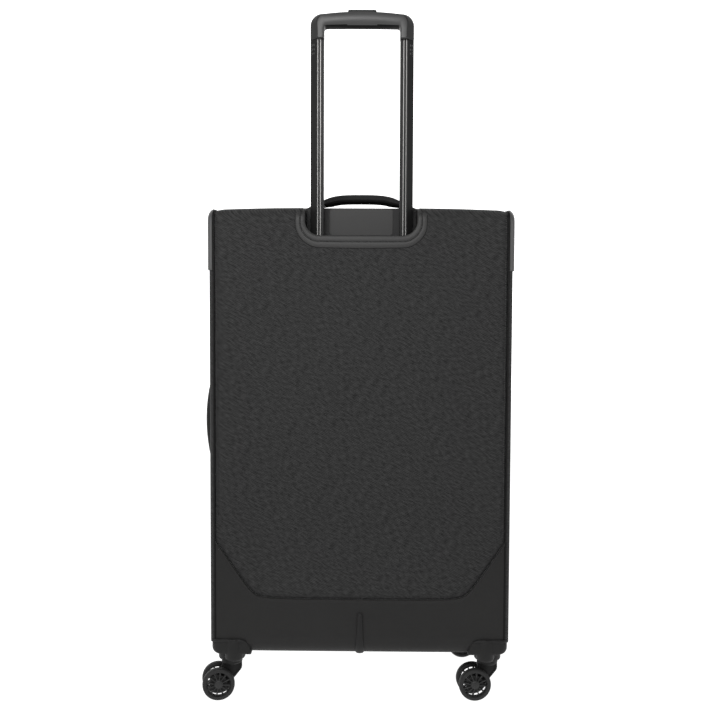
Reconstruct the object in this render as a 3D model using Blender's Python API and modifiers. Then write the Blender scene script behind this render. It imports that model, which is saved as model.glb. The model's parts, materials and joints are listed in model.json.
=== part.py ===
"""Softside upright suitcase with a telescopic handle, four twin-wheel casters and a hinged front lid.

Metres, +Z up. The front (lid and pockets) faces -Y and the telescopic handle is at the +Y side.
Every piece is built about the case's middle plane, x = 0, under one empty that carries the whole
case to its place over the origin: the floor, under the centre of the bounding box.
The telescopic handle is modelled pulled out.
"""

from math import atan2, cos, pi, radians, sin, tan

import bmesh
import bpy
from mathutils import Matrix, Vector

# ------------------------------------------------------------------ driving dimensions, in metres

GAP = 0.0003  # between two pieces that touch
MERGE = 0.00001

# The case
MID_X = -0.0099  # the middle plane; the side handle stands out on the +X side only
HALF_W = 0.2377
BOTTOM_Z = 0.084
TOP_Z = 0.790
REAR_Y = 0.152
ZIP_Y = -0.121  # the plane where the lid parts from the case
LID_Y = -0.146
R_REAR = 0.021
R_FRONT = 0.012
R_SIDE = 0.010
WALL = 0.004
LID_WALL = 0.003
SEAM_X = 0.2301  # the piped seam between the back and the side gussets
ZIP_BAND = 0.010
KICK_Z = 0.175  # the kick panel's seam, and where it meets the side seams
KICK_SIDE_Z = 0.273
KICK_CORNER_X = 0.172
KICK_UNDER_Y = REAR_Y - 0.045
LINING_Y = 0.1105
LINING_THICK = 0.0025

# Trim on the case
GUARD_BOTTOM_Z = 0.6915
GUARD_FRONT_Y = REAR_Y - 0.075
GUARD_PROUD = 0.0025
RIB_TOP_Z = 0.152
RIB_PROUD = 0.005
RIB_HALF_TOP = 0.0055
RIB_HALF_BOTTOM = 0.0085

# Recess of the telescopic handle
RECESS_HALF = 0.0875
RECESS_FLOOR_Z = 0.7457
RECESS_BACK_Y = REAR_Y - 0.0475
RECESS_R = 0.008
MOUTH_R = 0.023
MOUTH_Y = REAR_Y - 0.006
TRAY_WALL = 0.003
BEZEL_HALF = 0.1025
BEZEL_BOTTOM_Z = 0.7264
BEZEL_FRONT_Y = RECESS_BACK_Y - 0.016
BEZEL_R = 0.037
BEZEL_PROUD = 0.0018

# Telescopic handle
TUBE_X = 0.0701
TUBE_Y = REAR_Y - 0.029
TUBE_HALF_W = 0.0100
TUBE_HALF_D = 0.0065
TUBE_FLAT_EDGE = 0.0012  # where the flat rear face turns into the slanted outer face
TUBE_SLANT_Y = -0.001
TUBE_WALL = 0.0012
TUBE_CLEAR = 0.0005
TUBE_TOP_Z = 1.071
TUBE_END_Z = 0.640
OUTER_TOP_Z = RECESS_FLOOR_Z - TRAY_WALL - GAP
OUTER_END_Z = 0.103
FOOT_HALF_W = 0.092
FOOT_TOP_Z = 0.122
BUSH_LENGTH = 0.022
ROD_R = 0.0015
ROD_Z = 1.0815
ROD_END_Z = TUBE_END_Z + 0.008

# Grip
GRIP_Y = REAR_Y - 0.030
GRIP_HALF_W = 0.0811
GRIP_HALF_D = 0.015
GRIP_TOP_Z = 1.0956
GRIP_CROWN = 0.0032
GRIP_LEG_Z = 1.0524
GRIP_LEG_X = 0.0588
GRIP_UNDER_Z = 1.0728
GRIP_UNDER_SIDE_Z = 1.0745
GRIP_R = 0.019
CHANNEL_LOW_Z = 1.0762
CHANNEL_TOP_Z = 1.0845
BUTTON_HALF_W = 0.0170
BUTTON_HALF_D = 0.0070
BUTTON_TOP_Z = 1.0972
BUTTON_LOW_Z = ROD_Z + ROD_R + GAP
BUTTON_TRAVEL = 0.003

# Carry handles: a strap's outer line is rise - square * s ** 2 - fourth * s ** 4
HANDLE_Y = 0.022
HANDLE_HALF_D = 0.015
HANDLE_THICK = 0.006
SIDE_Z = 0.444
TOP_SHAPE = {"rise": 0.0340, "square": 0.27, "fourth": 566.0, "reach": 0.081, "cap": 0.072}
SIDE_SHAPE = {"rise": 0.0223, "square": 1.75, "fourth": 0.0, "reach": 0.090, "cap": 0.078}
CAP_LENGTH = 0.026
CAP_HALF_D = 0.0175

# Casters: the pivot is at the corner and the axle trails towards +X
PIVOT_X = 0.208
PIVOT_REAR_Y = REAR_Y - 0.040
PIVOT_FRONT_Y = PIVOT_REAR_Y - 0.199
TRAIL = 0.0225
WHEEL_R = 0.026
WHEEL_HALF = 0.0065
WHEEL_OFFSET = 0.015
BORE_R = 0.0027
AXLE_R = 0.0023
HUB_R = 0.0085
RIM_R = 0.0185
DISC_HALF = 0.0025
SOCKET_R = 0.0215
SOCKET_Z = 0.0640
KINGPIN_R = 0.0050
KINGPIN_Z = 0.0950
HOUSING_TOP_Z = 0.107
HOUSING_Z = 0.0815
HOUSING_PROUD = 0.002
HOUSING_IN_X = 0.171
HOUSING_DEPTH = 0.064
FORK_Z = SOCKET_Z - 0.0008
FORK_R = 0.0165
FORK_HALF = 0.0055

# Zipper, lock and pockets
SLIDER_Z_UPPER = 0.688
SLIDER_Z_LOWER = 0.572
LOCK_Z = 0.630
LOCK_HALF_Z = 0.032
LOCK_Y = -0.101
LOCK_HALF_Y = 0.015
LOCK_OUT = 0.014
DIAL_R = 0.0062
DIAL_HALF = 0.0025
DIAL_PITCH = 0.0080
DIAL_OUT = 0.009
POCKET_HALF_W = 0.200
POCKET_THICK = 0.012
POCKETS_Z = {"lower": (0.125, 0.435), "upper": (0.485, 0.715)}
POCKET_SLIDER_X = 0.165
POCKET_ZIP_OVER = 0.011

CASTERS = {  # side, front or rear pivot, and how far the caster is turned at rest
    "rear_left": (-1, PIVOT_REAR_Y, 3.5),
    "rear_right": (1, PIVOT_REAR_Y, 9.5),
    "front_left": (-1, PIVOT_FRONT_Y, 0.0),
    "front_right": (1, PIVOT_FRONT_Y, 0.0),
}

# ------------------------------------------------------------------ the scene's collections


def start_scene():
    """An empty scene with a collection for the parts and one for the cutters."""
    for old in list(bpy.data.objects):
        bpy.data.objects.remove(old)
    made = []
    for name in ("suitcase", "cutters"):
        made.append(bpy.data.collections.new(name))
        bpy.context.scene.collection.children.link(made[-1])
    return made


PARTS, CUTTERS = start_scene()


def empty(name, at, parent=None, turn=0.0):
    """An empty that carries the pieces under it."""
    made = bpy.data.objects.new(name, None)
    made.location = at
    made.rotation_euler = (0, 0, radians(turn))
    made.parent = parent
    PARTS.objects.link(made)
    return made


CASE = empty("case_frame", (MID_X, 0, 0))

MATERIALS = {}


def material(name, grey, roughness, metallic=0.0):
    """A neutral grey material, made once for each name."""
    if name not in MATERIALS:
        made = bpy.data.materials.new(name)
        made.use_nodes = True
        shader = made.node_tree.nodes["Principled BSDF"]
        shader.inputs["Base Color"].default_value = (grey, grey, grey, 1)
        shader.inputs["Roughness"].default_value = roughness
        shader.inputs["Metallic"].default_value = metallic
        MATERIALS[name] = made
    return MATERIALS[name]


def twill():
    return material("twill_fabric", 0.038, 0.85)


def smooth_fabric():
    return material("smooth_fabric", 0.030, 0.7)


def webbing():
    return material("webbing", 0.020, 0.8)


def moulding():
    return material("moulded_plastic", 0.030, 0.5)


def aluminium():
    return material("black_aluminium", 0.060, 0.35, 0.9)


def steel():
    return material("steel", 0.45, 0.3, 1.0)


def tyre():
    return material("tyre_plastic", 0.030, 0.55)


def die_cast():
    return material("die_cast", 0.050, 0.35, 0.8)


# ------------------------------------------------------------------ modelling helpers


def place(made, finish=None, parent=None):
    """Put an object among the parts with its material, or among the cutters with none."""
    made.parent = parent or CASE
    if finish is None:
        CUTTERS.objects.link(made)
        made.hide_render = True
        made.display_type = "WIRE"
    else:
        PARTS.objects.link(made)
        made.data.materials.append(finish)
        made.data.shade_smooth()
        made.data.set_sharp_from_angle(angle=radians(35))
    return made


def from_bmesh(name, bm, finish=None, parent=None):
    mesh = bpy.data.meshes.new(name)
    bm.to_mesh(mesh)
    bm.free()
    return place(bpy.data.objects.new(name, mesh), finish, parent)


def block(name, low, high, finish=None, parent=None, rounding=0.0, segments=2):
    """A box between two corners, with its edges rounded."""
    low, high = Vector(low), Vector(high)
    bm = bmesh.new()
    size = Matrix.Diagonal((*(high - low), 1))
    bmesh.ops.create_cube(bm, size=1, matrix=Matrix.Translation((low + high) / 2) @ size)
    made = from_bmesh(name, bm, finish, parent)
    if rounding:
        soften(made, rounding, segments)
    return made


def drum(name, radius, low, high, at=(0, 0), finish=None, parent=None, sides=24, axis="Z"):
    """A cylinder along one axis, between two coordinates on it."""
    bm = bmesh.new()
    bmesh.ops.create_cone(
        bm, cap_ends=True, segments=sides, radius1=radius, radius2=radius, depth=high - low,
        matrix=Matrix.Translation((at[0], at[1], (low + high) / 2)),
    )
    if axis == "Y":
        bmesh.ops.rotate(bm, verts=bm.verts, matrix=Matrix.Rotation(radians(90), 3, "X"))
    return from_bmesh(name, bm, finish, parent)


def soften(made, width, segments=2, angle=30):
    """Round the edges of an object."""
    bevel = made.modifiers.new("soften", "BEVEL")
    bevel.width = width
    bevel.segments = segments
    bevel.limit_method = "ANGLE"
    bevel.angle_limit = radians(angle)


def rounded(corners, steps=5):
    """An outline from (a, b, radius) corners, each rounded with an arc."""
    outline = []
    for index, (a, b, radius) in enumerate(corners):
        here = Vector((a, b))
        back = (Vector(corners[index - 1][:2]) - here).normalized()
        ahead = (Vector(corners[(index + 1) % len(corners)][:2]) - here).normalized()
        if radius <= 0:
            outline.append((a, b))
            continue
        half = back.angle(ahead) / 2
        centre = here + (back + ahead).normalized() * radius / sin(half)
        start = here + back * radius / tan(half) - centre
        end = here + ahead * radius / tan(half) - centre
        first = atan2(start.y, start.x)
        sweep = (atan2(end.y, end.x) - first + pi) % (2 * pi) - pi
        for step in range(steps + 1):
            angle = first + sweep * step / steps
            outline.append((centre.x + radius * cos(angle), centre.y + radius * sin(angle)))
    return outline


def grown(outline, distance):
    """The outline moved outwards by a distance, or inwards where it is negative."""
    points = [Vector(point) for point in outline]
    area = sum(a.x * b.y - b.x * a.y for a, b in zip(points, points[1:] + points[:1]))
    side = 1 if area > 0 else -1
    moved = []
    for index, here in enumerate(points):
        before = (here - points[index - 1]).normalized()
        after = (points[(index + 1) % len(points)] - here).normalized()
        one = Vector((before.y, -before.x)) * side
        two = Vector((after.y, -after.x)) * side
        moved.append(here + (one + two) * distance / (1 + one.dot(two)))
    return [(point.x, point.y) for point in moved]


OUTLINE_AXES = {  # the directions of an outline's two coordinates and of its extrusion
    "X": ((0, 1, 0), (0, 0, 1), (1, 0, 0)),
    "Y": ((1, 0, 0), (0, 0, 1), (0, -1, 0)),
    "Z": ((1, 0, 0), (0, 1, 0), (0, 0, 1)),
}


def slab_bmesh(outline, axis, low, high):
    """A flat outline extruded along an axis, as a bmesh with whole end faces."""
    curve = bpy.data.curves.new("outline", "CURVE")
    curve.dimensions = "2D"
    curve.fill_mode = "BOTH"
    curve.extrude = (high - low) / 2
    spline = curve.splines.new("POLY")
    spline.points.add(len(outline) - 1)
    for point, (a, b) in zip(spline.points, outline):
        point.co = (a, b, 0, 1)
    spline.use_cyclic_u = True
    drawn = bpy.data.objects.new("outline", curve)
    bpy.context.scene.collection.objects.link(drawn)
    graph = bpy.context.evaluated_depsgraph_get()
    mesh = bpy.data.meshes.new_from_object(drawn.evaluated_get(graph))
    bpy.data.objects.remove(drawn)
    bpy.data.curves.remove(curve)
    bm = bmesh.new()
    bm.from_mesh(mesh)
    bpy.data.meshes.remove(mesh)
    bmesh.ops.remove_doubles(bm, verts=bm.verts, dist=MERGE)
    bmesh.ops.dissolve_limit(bm, angle_limit=radians(0.1), verts=bm.verts, edges=bm.edges)
    turn = Matrix(OUTLINE_AXES[axis]).transposed()
    shift = Vector(OUTLINE_AXES[axis][2]) * (low + high) / 2
    if axis == "Y":
        shift = -shift
    bm.transform(Matrix.Translation(shift) @ turn.to_4x4())
    bmesh.ops.recalc_face_normals(bm, faces=bm.faces)
    return bm


def slab(name, outline, axis, low, high, finish=None, parent=None):
    return from_bmesh(name, slab_bmesh(outline, axis, low, high), finish, parent)


def turned(name, profile, finish, parent=None, steps=20, closed=False):
    """A solid turned about Z. The profile runs down its outer side."""
    bm = bmesh.new()
    points = [bm.verts.new((radius, 0, height)) for radius, height in profile]
    for one, two in zip(points, points[1:] + (points[:1] if closed else [])):
        bm.edges.new((one, two))
    made = from_bmesh(name, bm, finish, parent)
    screw = made.modifiers.new("turn", "SCREW")
    screw.steps = steps
    screw.render_steps = steps
    screw.use_merge_vertices = True
    screw.merge_threshold = MERGE
    return made


def change(made, operation, *others):
    """Add one Boolean for each of the other solids."""
    for other in others:
        boolean = made.modifiers.new(operation.lower(), "BOOLEAN")
        boolean.operation = operation
        boolean.solver = "EXACT"
        boolean.object = other
    return made


def cut(made, *others):
    return change(made, "DIFFERENCE", *others)


def keep(made, *others):
    return change(made, "INTERSECT", *others)


def join(made, *others):
    return change(made, "UNION", *others)


# ------------------------------------------------------------------ the case's form


def body_form(name, grow, finish=None, parent=None):
    """The rounded form of the closed case, grown by a distance on every side."""
    low_y, high_y = LID_Y - grow, REAR_Y + grow
    low_z, high_z = BOTTOM_Z - grow, TOP_Z + grow
    outline = rounded([
        (low_y, low_z, R_FRONT + grow),
        (high_y, low_z, R_REAR + grow),
        (high_y, high_z, R_REAR + grow),
        (low_y, high_z, R_FRONT + grow),
    ])
    half = HALF_W + grow
    bm = slab_bmesh(outline, "X", -half, half)
    ends = [edge for edge in bm.edges if abs(edge.verts[0].co.x + edge.verts[1].co.x) > half]
    bmesh.ops.bevel(bm, geom=ends, offset=R_SIDE + grow, segments=4, profile=0.5, affect="EDGES")
    bmesh.ops.recalc_face_normals(bm, faces=bm.faces)
    return from_bmesh(name, bm, finish, parent)


FAR = 0.5  # beyond the case's surface, for cutters
INNER = body_form("inner_form", -WALL)
SKIN = body_form("skin_form", GAP)
FRONT = block("front_half", (-FAR, -FAR, -FAR), (FAR, ZIP_Y + ZIP_BAND + GAP, 2 * FAR))


def kick_outline(shift):
    """Everything below the kick panel's seam, with the seam moved up by a shift."""
    top, side, corner = KICK_Z + shift, KICK_SIDE_Z + shift, KICK_CORNER_X
    return rounded([
        (-FAR, -FAR, 0),
        (FAR, -FAR, 0),
        (FAR, side + (FAR - SEAM_X) * (side - top) / (SEAM_X - corner), 0),
        (corner, top, 0.020),
        (-corner, top, 0.020),
        (-FAR, side + (FAR - SEAM_X) * (side - top) / (SEAM_X - corner), 0),
    ])


def housing_plan(side, pivot_y, grow):
    """The corner bumper seen from above."""
    outer = HALF_W + HOUSING_PROUD
    if pivot_y > 0:
        near, far, out_r, in_r = REAR_Y + HOUSING_PROUD, REAR_Y + HOUSING_PROUD - HOUSING_DEPTH, 0.013, 0.004
    else:
        near, far, out_r, in_r = pivot_y - 0.025, pivot_y + HOUSING_DEPTH / 2, 0.004, 0.004
    outline = rounded([
        (HOUSING_IN_X, far, in_r),
        (outer, far, in_r),
        (outer, near, out_r),
        (HOUSING_IN_X, near, in_r),
    ], steps=4)
    return grown([(side * a, b) for a, b in outline], grow)


def housing_front(side, grow):
    """The corner bumper seen from behind: its top edge curves down to the inner end."""
    outer = HALF_W + 0.02
    outline = rounded([
        (HOUSING_IN_X, HOUSING_Z, 0),
        (outer, HOUSING_Z, 0),
        (outer, HOUSING_TOP_Z, 0),
        (HOUSING_IN_X + 0.007, HOUSING_TOP_Z, 0.014),
    ], steps=4)
    return grown([(side * a, b) for a, b in outline], grow)


def bumper(name, side, pivot_y, grow, finish=None):
    """The corner bumper's block: its plan and its front outline crossed."""
    made = slab(name, housing_plan(side, pivot_y, grow), "Z", HOUSING_Z - grow, 0.12, finish)
    front = slab(name + "_front", housing_front(side, grow), "Y", pivot_y - 0.06, pivot_y + 0.06)
    return keep(made, front)


BUMPER_CUTS = {
    name: bumper(f"bumper_cut_{name}", side, pivot_y, GAP)
    for name, (side, pivot_y, turn) in CASTERS.items()
}


def recess_outline(grow, radius=RECESS_R):
    """The handle recess seen from behind, open at the top."""
    return grown(rounded([
        (-RECESS_HALF, RECESS_FLOOR_Z, radius),
        (RECESS_HALF, RECESS_FLOOR_Z, radius),
        (RECESS_HALF, 2 * FAR, 0),
        (-RECESS_HALF, 2 * FAR, 0),
    ]), grow)


def bezel_window(name, grow):
    """The bezel's outline seen from behind, as a slab that reaches over the top edge."""
    outline = rounded([
        (-BEZEL_HALF, BEZEL_BOTTOM_Z, BEZEL_R),
        (BEZEL_HALF, BEZEL_BOTTOM_Z, BEZEL_R),
        (BEZEL_HALF, 2 * FAR, 0),
        (-BEZEL_HALF, 2 * FAR, 0),
    ], steps=6)
    return slab(name, grown(outline, grow), "Y", BEZEL_FRONT_Y - grow, FAR)


TRAY_CUT = slab("tray_cut", recess_outline(TRAY_WALL + GAP), "Y", RECESS_BACK_Y - TRAY_WALL - GAP, FAR)
BEZEL_CUT = bezel_window("bezel_cut", GAP)

# ------------------------------------------------------------------ fabric and board shell


def rear_top_panel():
    """The back and top: one piece of fabric over board, from the kick seam up and forwards."""
    made = body_form("rear_top_panel", 0, twill())
    below = slab("below_kick_seam", kick_outline(0), "Y", -FAR, FAR)
    middle = block("between_seams", (-SEAM_X, -FAR, -FAR), (SEAM_X, FAR, 2 * FAR))
    return cut(keep(made, middle), INNER, FRONT, below, BEZEL_CUT)


def kick_panel():
    """The smooth panel across the back's foot, turned under the case."""
    made = body_form("kick_panel", 0, smooth_fabric())
    seam = slab("kick_seam", kick_outline(-GAP), "Y", KICK_UNDER_Y, FAR)
    middle = block("kick_width", (-SEAM_X, -FAR, -FAR), (SEAM_X, FAR, 2 * FAR))
    return cut(keep(made, seam, middle), INNER, BUMPER_CUTS["rear_left"], BUMPER_CUTS["rear_right"])


def side_panel(name, side):
    """A side gusset with the rounded edges all around it."""
    made = body_form(name, 0, twill())
    low, high = sorted((side * (SEAM_X + GAP), side * FAR))
    gusset = block(name + "_width", (low, -FAR, -FAR), (high, FAR, 2 * FAR))
    cut(keep(made, gusset), INNER, FRONT)
    return cut(made, *[BUMPER_CUTS[key] for key in BUMPER_CUTS if CASTERS[key][0] == side])


def base_tray():
    """The board under the case, between the casters."""
    made = body_form("base_tray", 0, smooth_fabric())
    board = block(
        "base_board", (-SEAM_X, ZIP_Y + ZIP_BAND + GAP, 0), (SEAM_X, KICK_UNDER_Y - GAP, 0.12)
    )
    return cut(keep(made, board), INNER, *BUMPER_CUTS.values())


def zipper_track():
    """The zipper's tape on the case side: a band around the opening."""
    made = body_form("zipper_track", -0.0015, webbing())
    inside = body_form("zipper_inside", -WALL - 0.0005)
    band = block("zipper_band", (-FAR, ZIP_Y, -FAR), (FAR, ZIP_Y + ZIP_BAND, 2 * FAR))
    return cut(keep(made, band), inside, BUMPER_CUTS["front_left"], BUMPER_CUTS["front_right"])


def lining_panel():
    """The board inside the case that covers the telescopic tubes."""
    inset = WALL + 0.001
    outline = rounded([
        (-HALF_W + inset, BOTTOM_Z + inset, 0.008),
        (HALF_W - inset, BOTTOM_Z + inset, 0.008),
        (HALF_W - inset, TOP_Z - inset, 0.008),
        (-HALF_W + inset, TOP_Z - inset, 0.008),
    ], steps=3)
    made = slab("lining_panel", outline, "Y", LINING_Y, LINING_Y + LINING_THICK, smooth_fabric())
    return cut(made, TRAY_CUT, BUMPER_CUTS["rear_left"], BUMPER_CUTS["rear_right"])


# ------------------------------------------------------------------ trim on the shell


def corner_guard(name, side):
    """A smooth guard over the top rear corner of a side gusset."""
    made = body_form(name, GUARD_PROUD, moulding())
    window = slab(name + "_window", rounded([
        (GUARD_FRONT_Y, GUARD_BOTTOM_Z, 0.012),
        (FAR, GUARD_BOTTOM_Z, 0),
        (FAR, 2 * FAR, 0),
        (GUARD_FRONT_Y, 2 * FAR, 0),
    ], steps=3), "X", *sorted((side * (SEAM_X + 0.001), side * FAR)))
    return cut(keep(made, window), SKIN)


def skid_rib():
    """A moulded runner at the middle of the kick panel, carried under the case."""
    made = body_form("skid_rib", RIB_PROUD, moulding())
    foot = BOTTOM_Z - 0.02
    window = slab("rib_window", rounded([
        (-RIB_HALF_BOTTOM, foot, 0),
        (RIB_HALF_BOTTOM, foot, 0),
        (RIB_HALF_TOP, RIB_TOP_Z, RIB_HALF_TOP * 0.9),
        (-RIB_HALF_TOP, RIB_TOP_Z, RIB_HALF_TOP * 0.9),
    ], steps=4), "Y", KICK_UNDER_Y + 0.005, FAR)
    return cut(keep(made, window), SKIN)


def handle_housing():
    """The recess tray of the telescopic handle, with its bezel set in the panel's opening."""
    made = body_form("handle_housing", BEZEL_PROUD, moulding())
    window = bezel_window("bezel_window", 0)
    tray = slab("tray", recess_outline(TRAY_WALL), "Y", RECESS_BACK_Y - TRAY_WALL, REAR_Y + GAP)
    trim = body_form("tray_trim", GAP * 2)
    mouth = slab("mouth", recess_outline(0, MOUTH_R), "Y", MOUTH_Y - 0.001, FAR)
    hollow = slab("hollow", recess_outline(0), "Y", RECESS_BACK_Y, MOUTH_Y)
    keep(tray, trim)
    return cut(join(cut(keep(made, window), INNER), tray), mouth, hollow, *TUBE_CUTS)


def tube_outline(side):
    """The telescopic tube's section: a flat rear face and a slanted outer face."""
    outline = rounded([
        (-TUBE_HALF_W, -TUBE_HALF_D, 0.0015),
        (TUBE_HALF_W, -TUBE_HALF_D, 0.0015),
        (TUBE_HALF_W, TUBE_SLANT_Y, 0.001),
        (TUBE_FLAT_EDGE, TUBE_HALF_D, 0.001),
        (-TUBE_HALF_W, TUBE_HALF_D, 0.0015),
    ], steps=2)
    return [(side * (TUBE_X + a), TUBE_Y + b) for a, b in outline]


def tube_slab(name, side, grow, low, high, finish=None):
    return slab(name, grown(tube_outline(side), grow), "Z", low, high, finish)


TUBE_CUTS = [
    tube_slab(f"tube_cut_{side}", side, TUBE_CLEAR, RECESS_FLOOR_Z - 0.02, RECESS_FLOOR_Z + 0.02)
    for side in (-1, 1)
]


def strap_height(shape, along):
    return shape["rise"] - shape["square"] * along ** 2 - shape["fourth"] * along ** 4


def carry_line(shape, shift, reach):
    """Points of a carry handle's curved line, moved outwards by a shift."""
    steps = 16
    points = []
    for step in range(steps + 1):
        along = reach * (2 * step / steps - 1)
        points.append((along, strap_height(shape, along) + shift))
    return points


def carry_band(shape, grow):
    """The outline of a carry handle's strap, seen from its edge."""
    reach = shape["reach"] + grow
    outer = carry_line(shape, grow, reach)
    inner = carry_line(shape, -HANDLE_THICK - grow, reach)
    return outer + inner[::-1]


def cap_outline(side, shape):
    """An end cap of a carry handle, seen from its edge: a wedge over the strap's end."""
    start = shape["cap"]
    top = strap_height(shape, start) + 0.003
    return rounded([
        (side * start, GAP, 0),
        (side * start, top, 0.0015),
        (side * (start + 0.003), top, 0.003),
        (side * (start + 0.014), 0.0108, 0.006),
        (side * (start + CAP_LENGTH), 0.005, 0.003),
        (side * (start + CAP_LENGTH), GAP, 0),
    ], steps=3)


def carry_handle(strap, caps, shape, frame):
    """A padded strap on two caps; its outlines lie in the plane of frame, an empty."""
    made = slab(strap, carry_band(shape, 0), "Y", -HANDLE_HALF_D, HANDLE_HALF_D, webbing(), frame)
    soften(made, 0.002)
    grow = GAP
    around = slab(
        strap + "_cut", carry_band(shape, grow), "Y", -HANDLE_HALF_D - grow, HANDLE_HALF_D + grow,
        None, frame,
    )
    for side, name in zip((-1, 1), caps):
        cap = slab(name, cap_outline(side, shape), "Y", -CAP_HALF_D, CAP_HALF_D, moulding(), frame)
        soften(cap, 0.0015, 1)
        cut(cap, around)


def carry_handles():
    top = empty("top_handle_frame", (0, HANDLE_Y, TOP_Z), CASE)
    side = empty("side_handle_frame", (HALF_W, HANDLE_Y, SIDE_Z), CASE)
    side.rotation_euler = (0, radians(90), 0)
    carry_handle(
        "top_handle_strap", ("top_handle_cap_left", "top_handle_cap_right"), TOP_SHAPE, top
    )
    carry_handle(
        "side_handle_strap", ("side_handle_cap_upper", "side_handle_cap_lower"), SIDE_SHAPE, side
    )


# ------------------------------------------------------------------ telescopic handle


def outer_tube(name, side):
    """The fixed tube inside the case."""
    grow = TUBE_CLEAR + TUBE_WALL
    made = tube_slab(name, side, grow, OUTER_END_Z, OUTER_TOP_Z, aluminium())
    return cut(made, tube_slab(name + "_bore", side, TUBE_CLEAR, OUTER_END_Z - 0.01, OUTER_TOP_Z + 0.01))


def tube_foot():
    """The bracket that holds both fixed tubes at the case's bottom."""
    made = block(
        "tube_foot", (-FOOT_HALF_W, TUBE_Y - 0.009, BOTTOM_Z + WALL + 0.0025),
        (FOOT_HALF_W, TUBE_Y + 0.0095, FOOT_TOP_Z), moulding(), rounding=0.0015, segments=1,
    )
    grow = TUBE_CLEAR + TUBE_WALL + GAP
    sockets = [
        tube_slab(f"socket_{side}", side, grow, OUTER_END_Z - GAP, FOOT_TOP_Z + 0.01) for side in (-1, 1)
    ]
    return cut(made, *sockets)


def inner_tube(name, side):
    """The sliding tube, hollow for the release rod."""
    made = tube_slab(name, side, 0, TUBE_END_Z, TUBE_TOP_Z, aluminium())
    return cut(made, tube_slab(name + "_bore", side, -TUBE_WALL, TUBE_END_Z - 0.01, TUBE_TOP_Z + 0.01))


def end_bush(name, side):
    """The guide bush under a sliding tube."""
    made = tube_slab(name, side, 0.0001, TUBE_END_Z - BUSH_LENGTH, TUBE_END_Z - GAP, moulding())
    return made


def grip():
    """The handle's grip: a bar with two short legs around the tubes."""
    steps = 6
    top = []
    for step in range(1, steps):
        across = 2 * step / steps - 1
        reach = GRIP_HALF_W - GRIP_R
        top.append((-reach * across, GRIP_TOP_Z - GRIP_CROWN * across * across, 0))
    under = []
    for step in range(1, steps):
        across = 2 * step / steps - 1
        fall = (GRIP_UNDER_SIDE_Z - GRIP_UNDER_Z) * (1 - across * across)
        under.append((across * (GRIP_LEG_X - 0.006), GRIP_UNDER_SIDE_Z - fall, 0))
    outline = rounded([
        (GRIP_HALF_W, GRIP_LEG_Z, 0.002),
        (GRIP_HALF_W, GRIP_TOP_Z - GRIP_CROWN, GRIP_R),
        *top,
        (-GRIP_HALF_W, GRIP_TOP_Z - GRIP_CROWN, GRIP_R),
        (-GRIP_HALF_W, GRIP_LEG_Z, 0.002),
        (-GRIP_LEG_X, GRIP_LEG_Z, 0.002),
        (-GRIP_LEG_X, GRIP_UNDER_SIDE_Z, 0.004),
        *under,
        (GRIP_LEG_X, GRIP_UNDER_SIDE_Z, 0.004),
        (GRIP_LEG_X, GRIP_LEG_Z, 0.002),
    ], steps=4)
    made = slab("grip", outline, "Y", GRIP_Y - GRIP_HALF_D, GRIP_Y + GRIP_HALF_D, moulding())
    soften(made, 0.004, 2, 60)
    channel = block(
        "rod_channel", (-TUBE_X - 0.005, TUBE_Y - 0.004, CHANNEL_LOW_Z),
        (TUBE_X + 0.005, TUBE_Y + 0.004, CHANNEL_TOP_Z),
    )
    slot = block(
        "button_slot", (-BUTTON_HALF_W - GAP, TUBE_Y - BUTTON_HALF_D - GAP, BUTTON_LOW_Z - BUTTON_TRAVEL - GAP),
        (BUTTON_HALF_W + GAP, TUBE_Y + BUTTON_HALF_D + GAP, 2 * FAR + 0.2),
    )
    sockets = [
        tube_slab(f"grip_socket_{side}", side, GAP, GRIP_LEG_Z - 0.01, CHANNEL_LOW_Z + 0.001)
        for side in (-1, 1)
    ]
    return cut(made, channel, slot, *sockets)


def grip_button():
    """The release button in the grip's top."""
    return block(
        "grip_button", (-BUTTON_HALF_W, TUBE_Y - BUTTON_HALF_D, BUTTON_LOW_Z),
        (BUTTON_HALF_W, TUBE_Y + BUTTON_HALF_D, BUTTON_TOP_Z), moulding(), rounding=0.002,
    )


def push_rod(name, side):
    """A release rod: from under the button across the grip and down the sliding tube."""
    route = [
        (0.003, ROD_Z), (TUBE_X - 0.003, ROD_Z), (TUBE_X - 0.0008, ROD_Z - 0.0008),
        (TUBE_X, ROD_Z - 0.003), (TUBE_X, ROD_END_Z),
    ]
    curve = bpy.data.curves.new(name, "CURVE")
    curve.dimensions = "3D"
    curve.bevel_depth = ROD_R
    curve.bevel_resolution = 1
    curve.use_fill_caps = True
    spline = curve.splines.new("POLY")
    spline.points.add(len(route) - 1)
    for point, (x, z) in zip(spline.points, route):
        point.co = (side * x, TUBE_Y, z, 1)
    made = bpy.data.objects.new(name, curve)
    made.parent = CASE
    curve.materials.append(steel())
    PARTS.objects.link(made)
    weld = made.modifiers.new("weld", "WELD")
    weld.merge_threshold = MERGE
    return made


# ------------------------------------------------------------------ lid, pockets, zippers and lock


def lid_panel(hinge):
    """The front lid: a shallow tray of fabric over board."""
    made = body_form("lid_panel", 0, twill())
    inside = body_form("lid_inside", -LID_WALL)
    front = block("lid_front", (-FAR, -FAR, -FAR), (FAR, ZIP_Y - GAP, 2 * FAR))
    made.parent = hinge
    made.location = -Vector(hinge.location)
    return cut(keep(made, front), inside)


def lid_pocket(name, low_z, high_z, hinge):
    """A padded pocket on the lid."""
    made = block(
        name, (-POCKET_HALF_W, LID_Y - POCKET_THICK, low_z), (POCKET_HALF_W, LID_Y - GAP, high_z),
        twill(), hinge, rounding=0.005,
    )
    made.location = -Vector(hinge.location)
    return made


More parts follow.
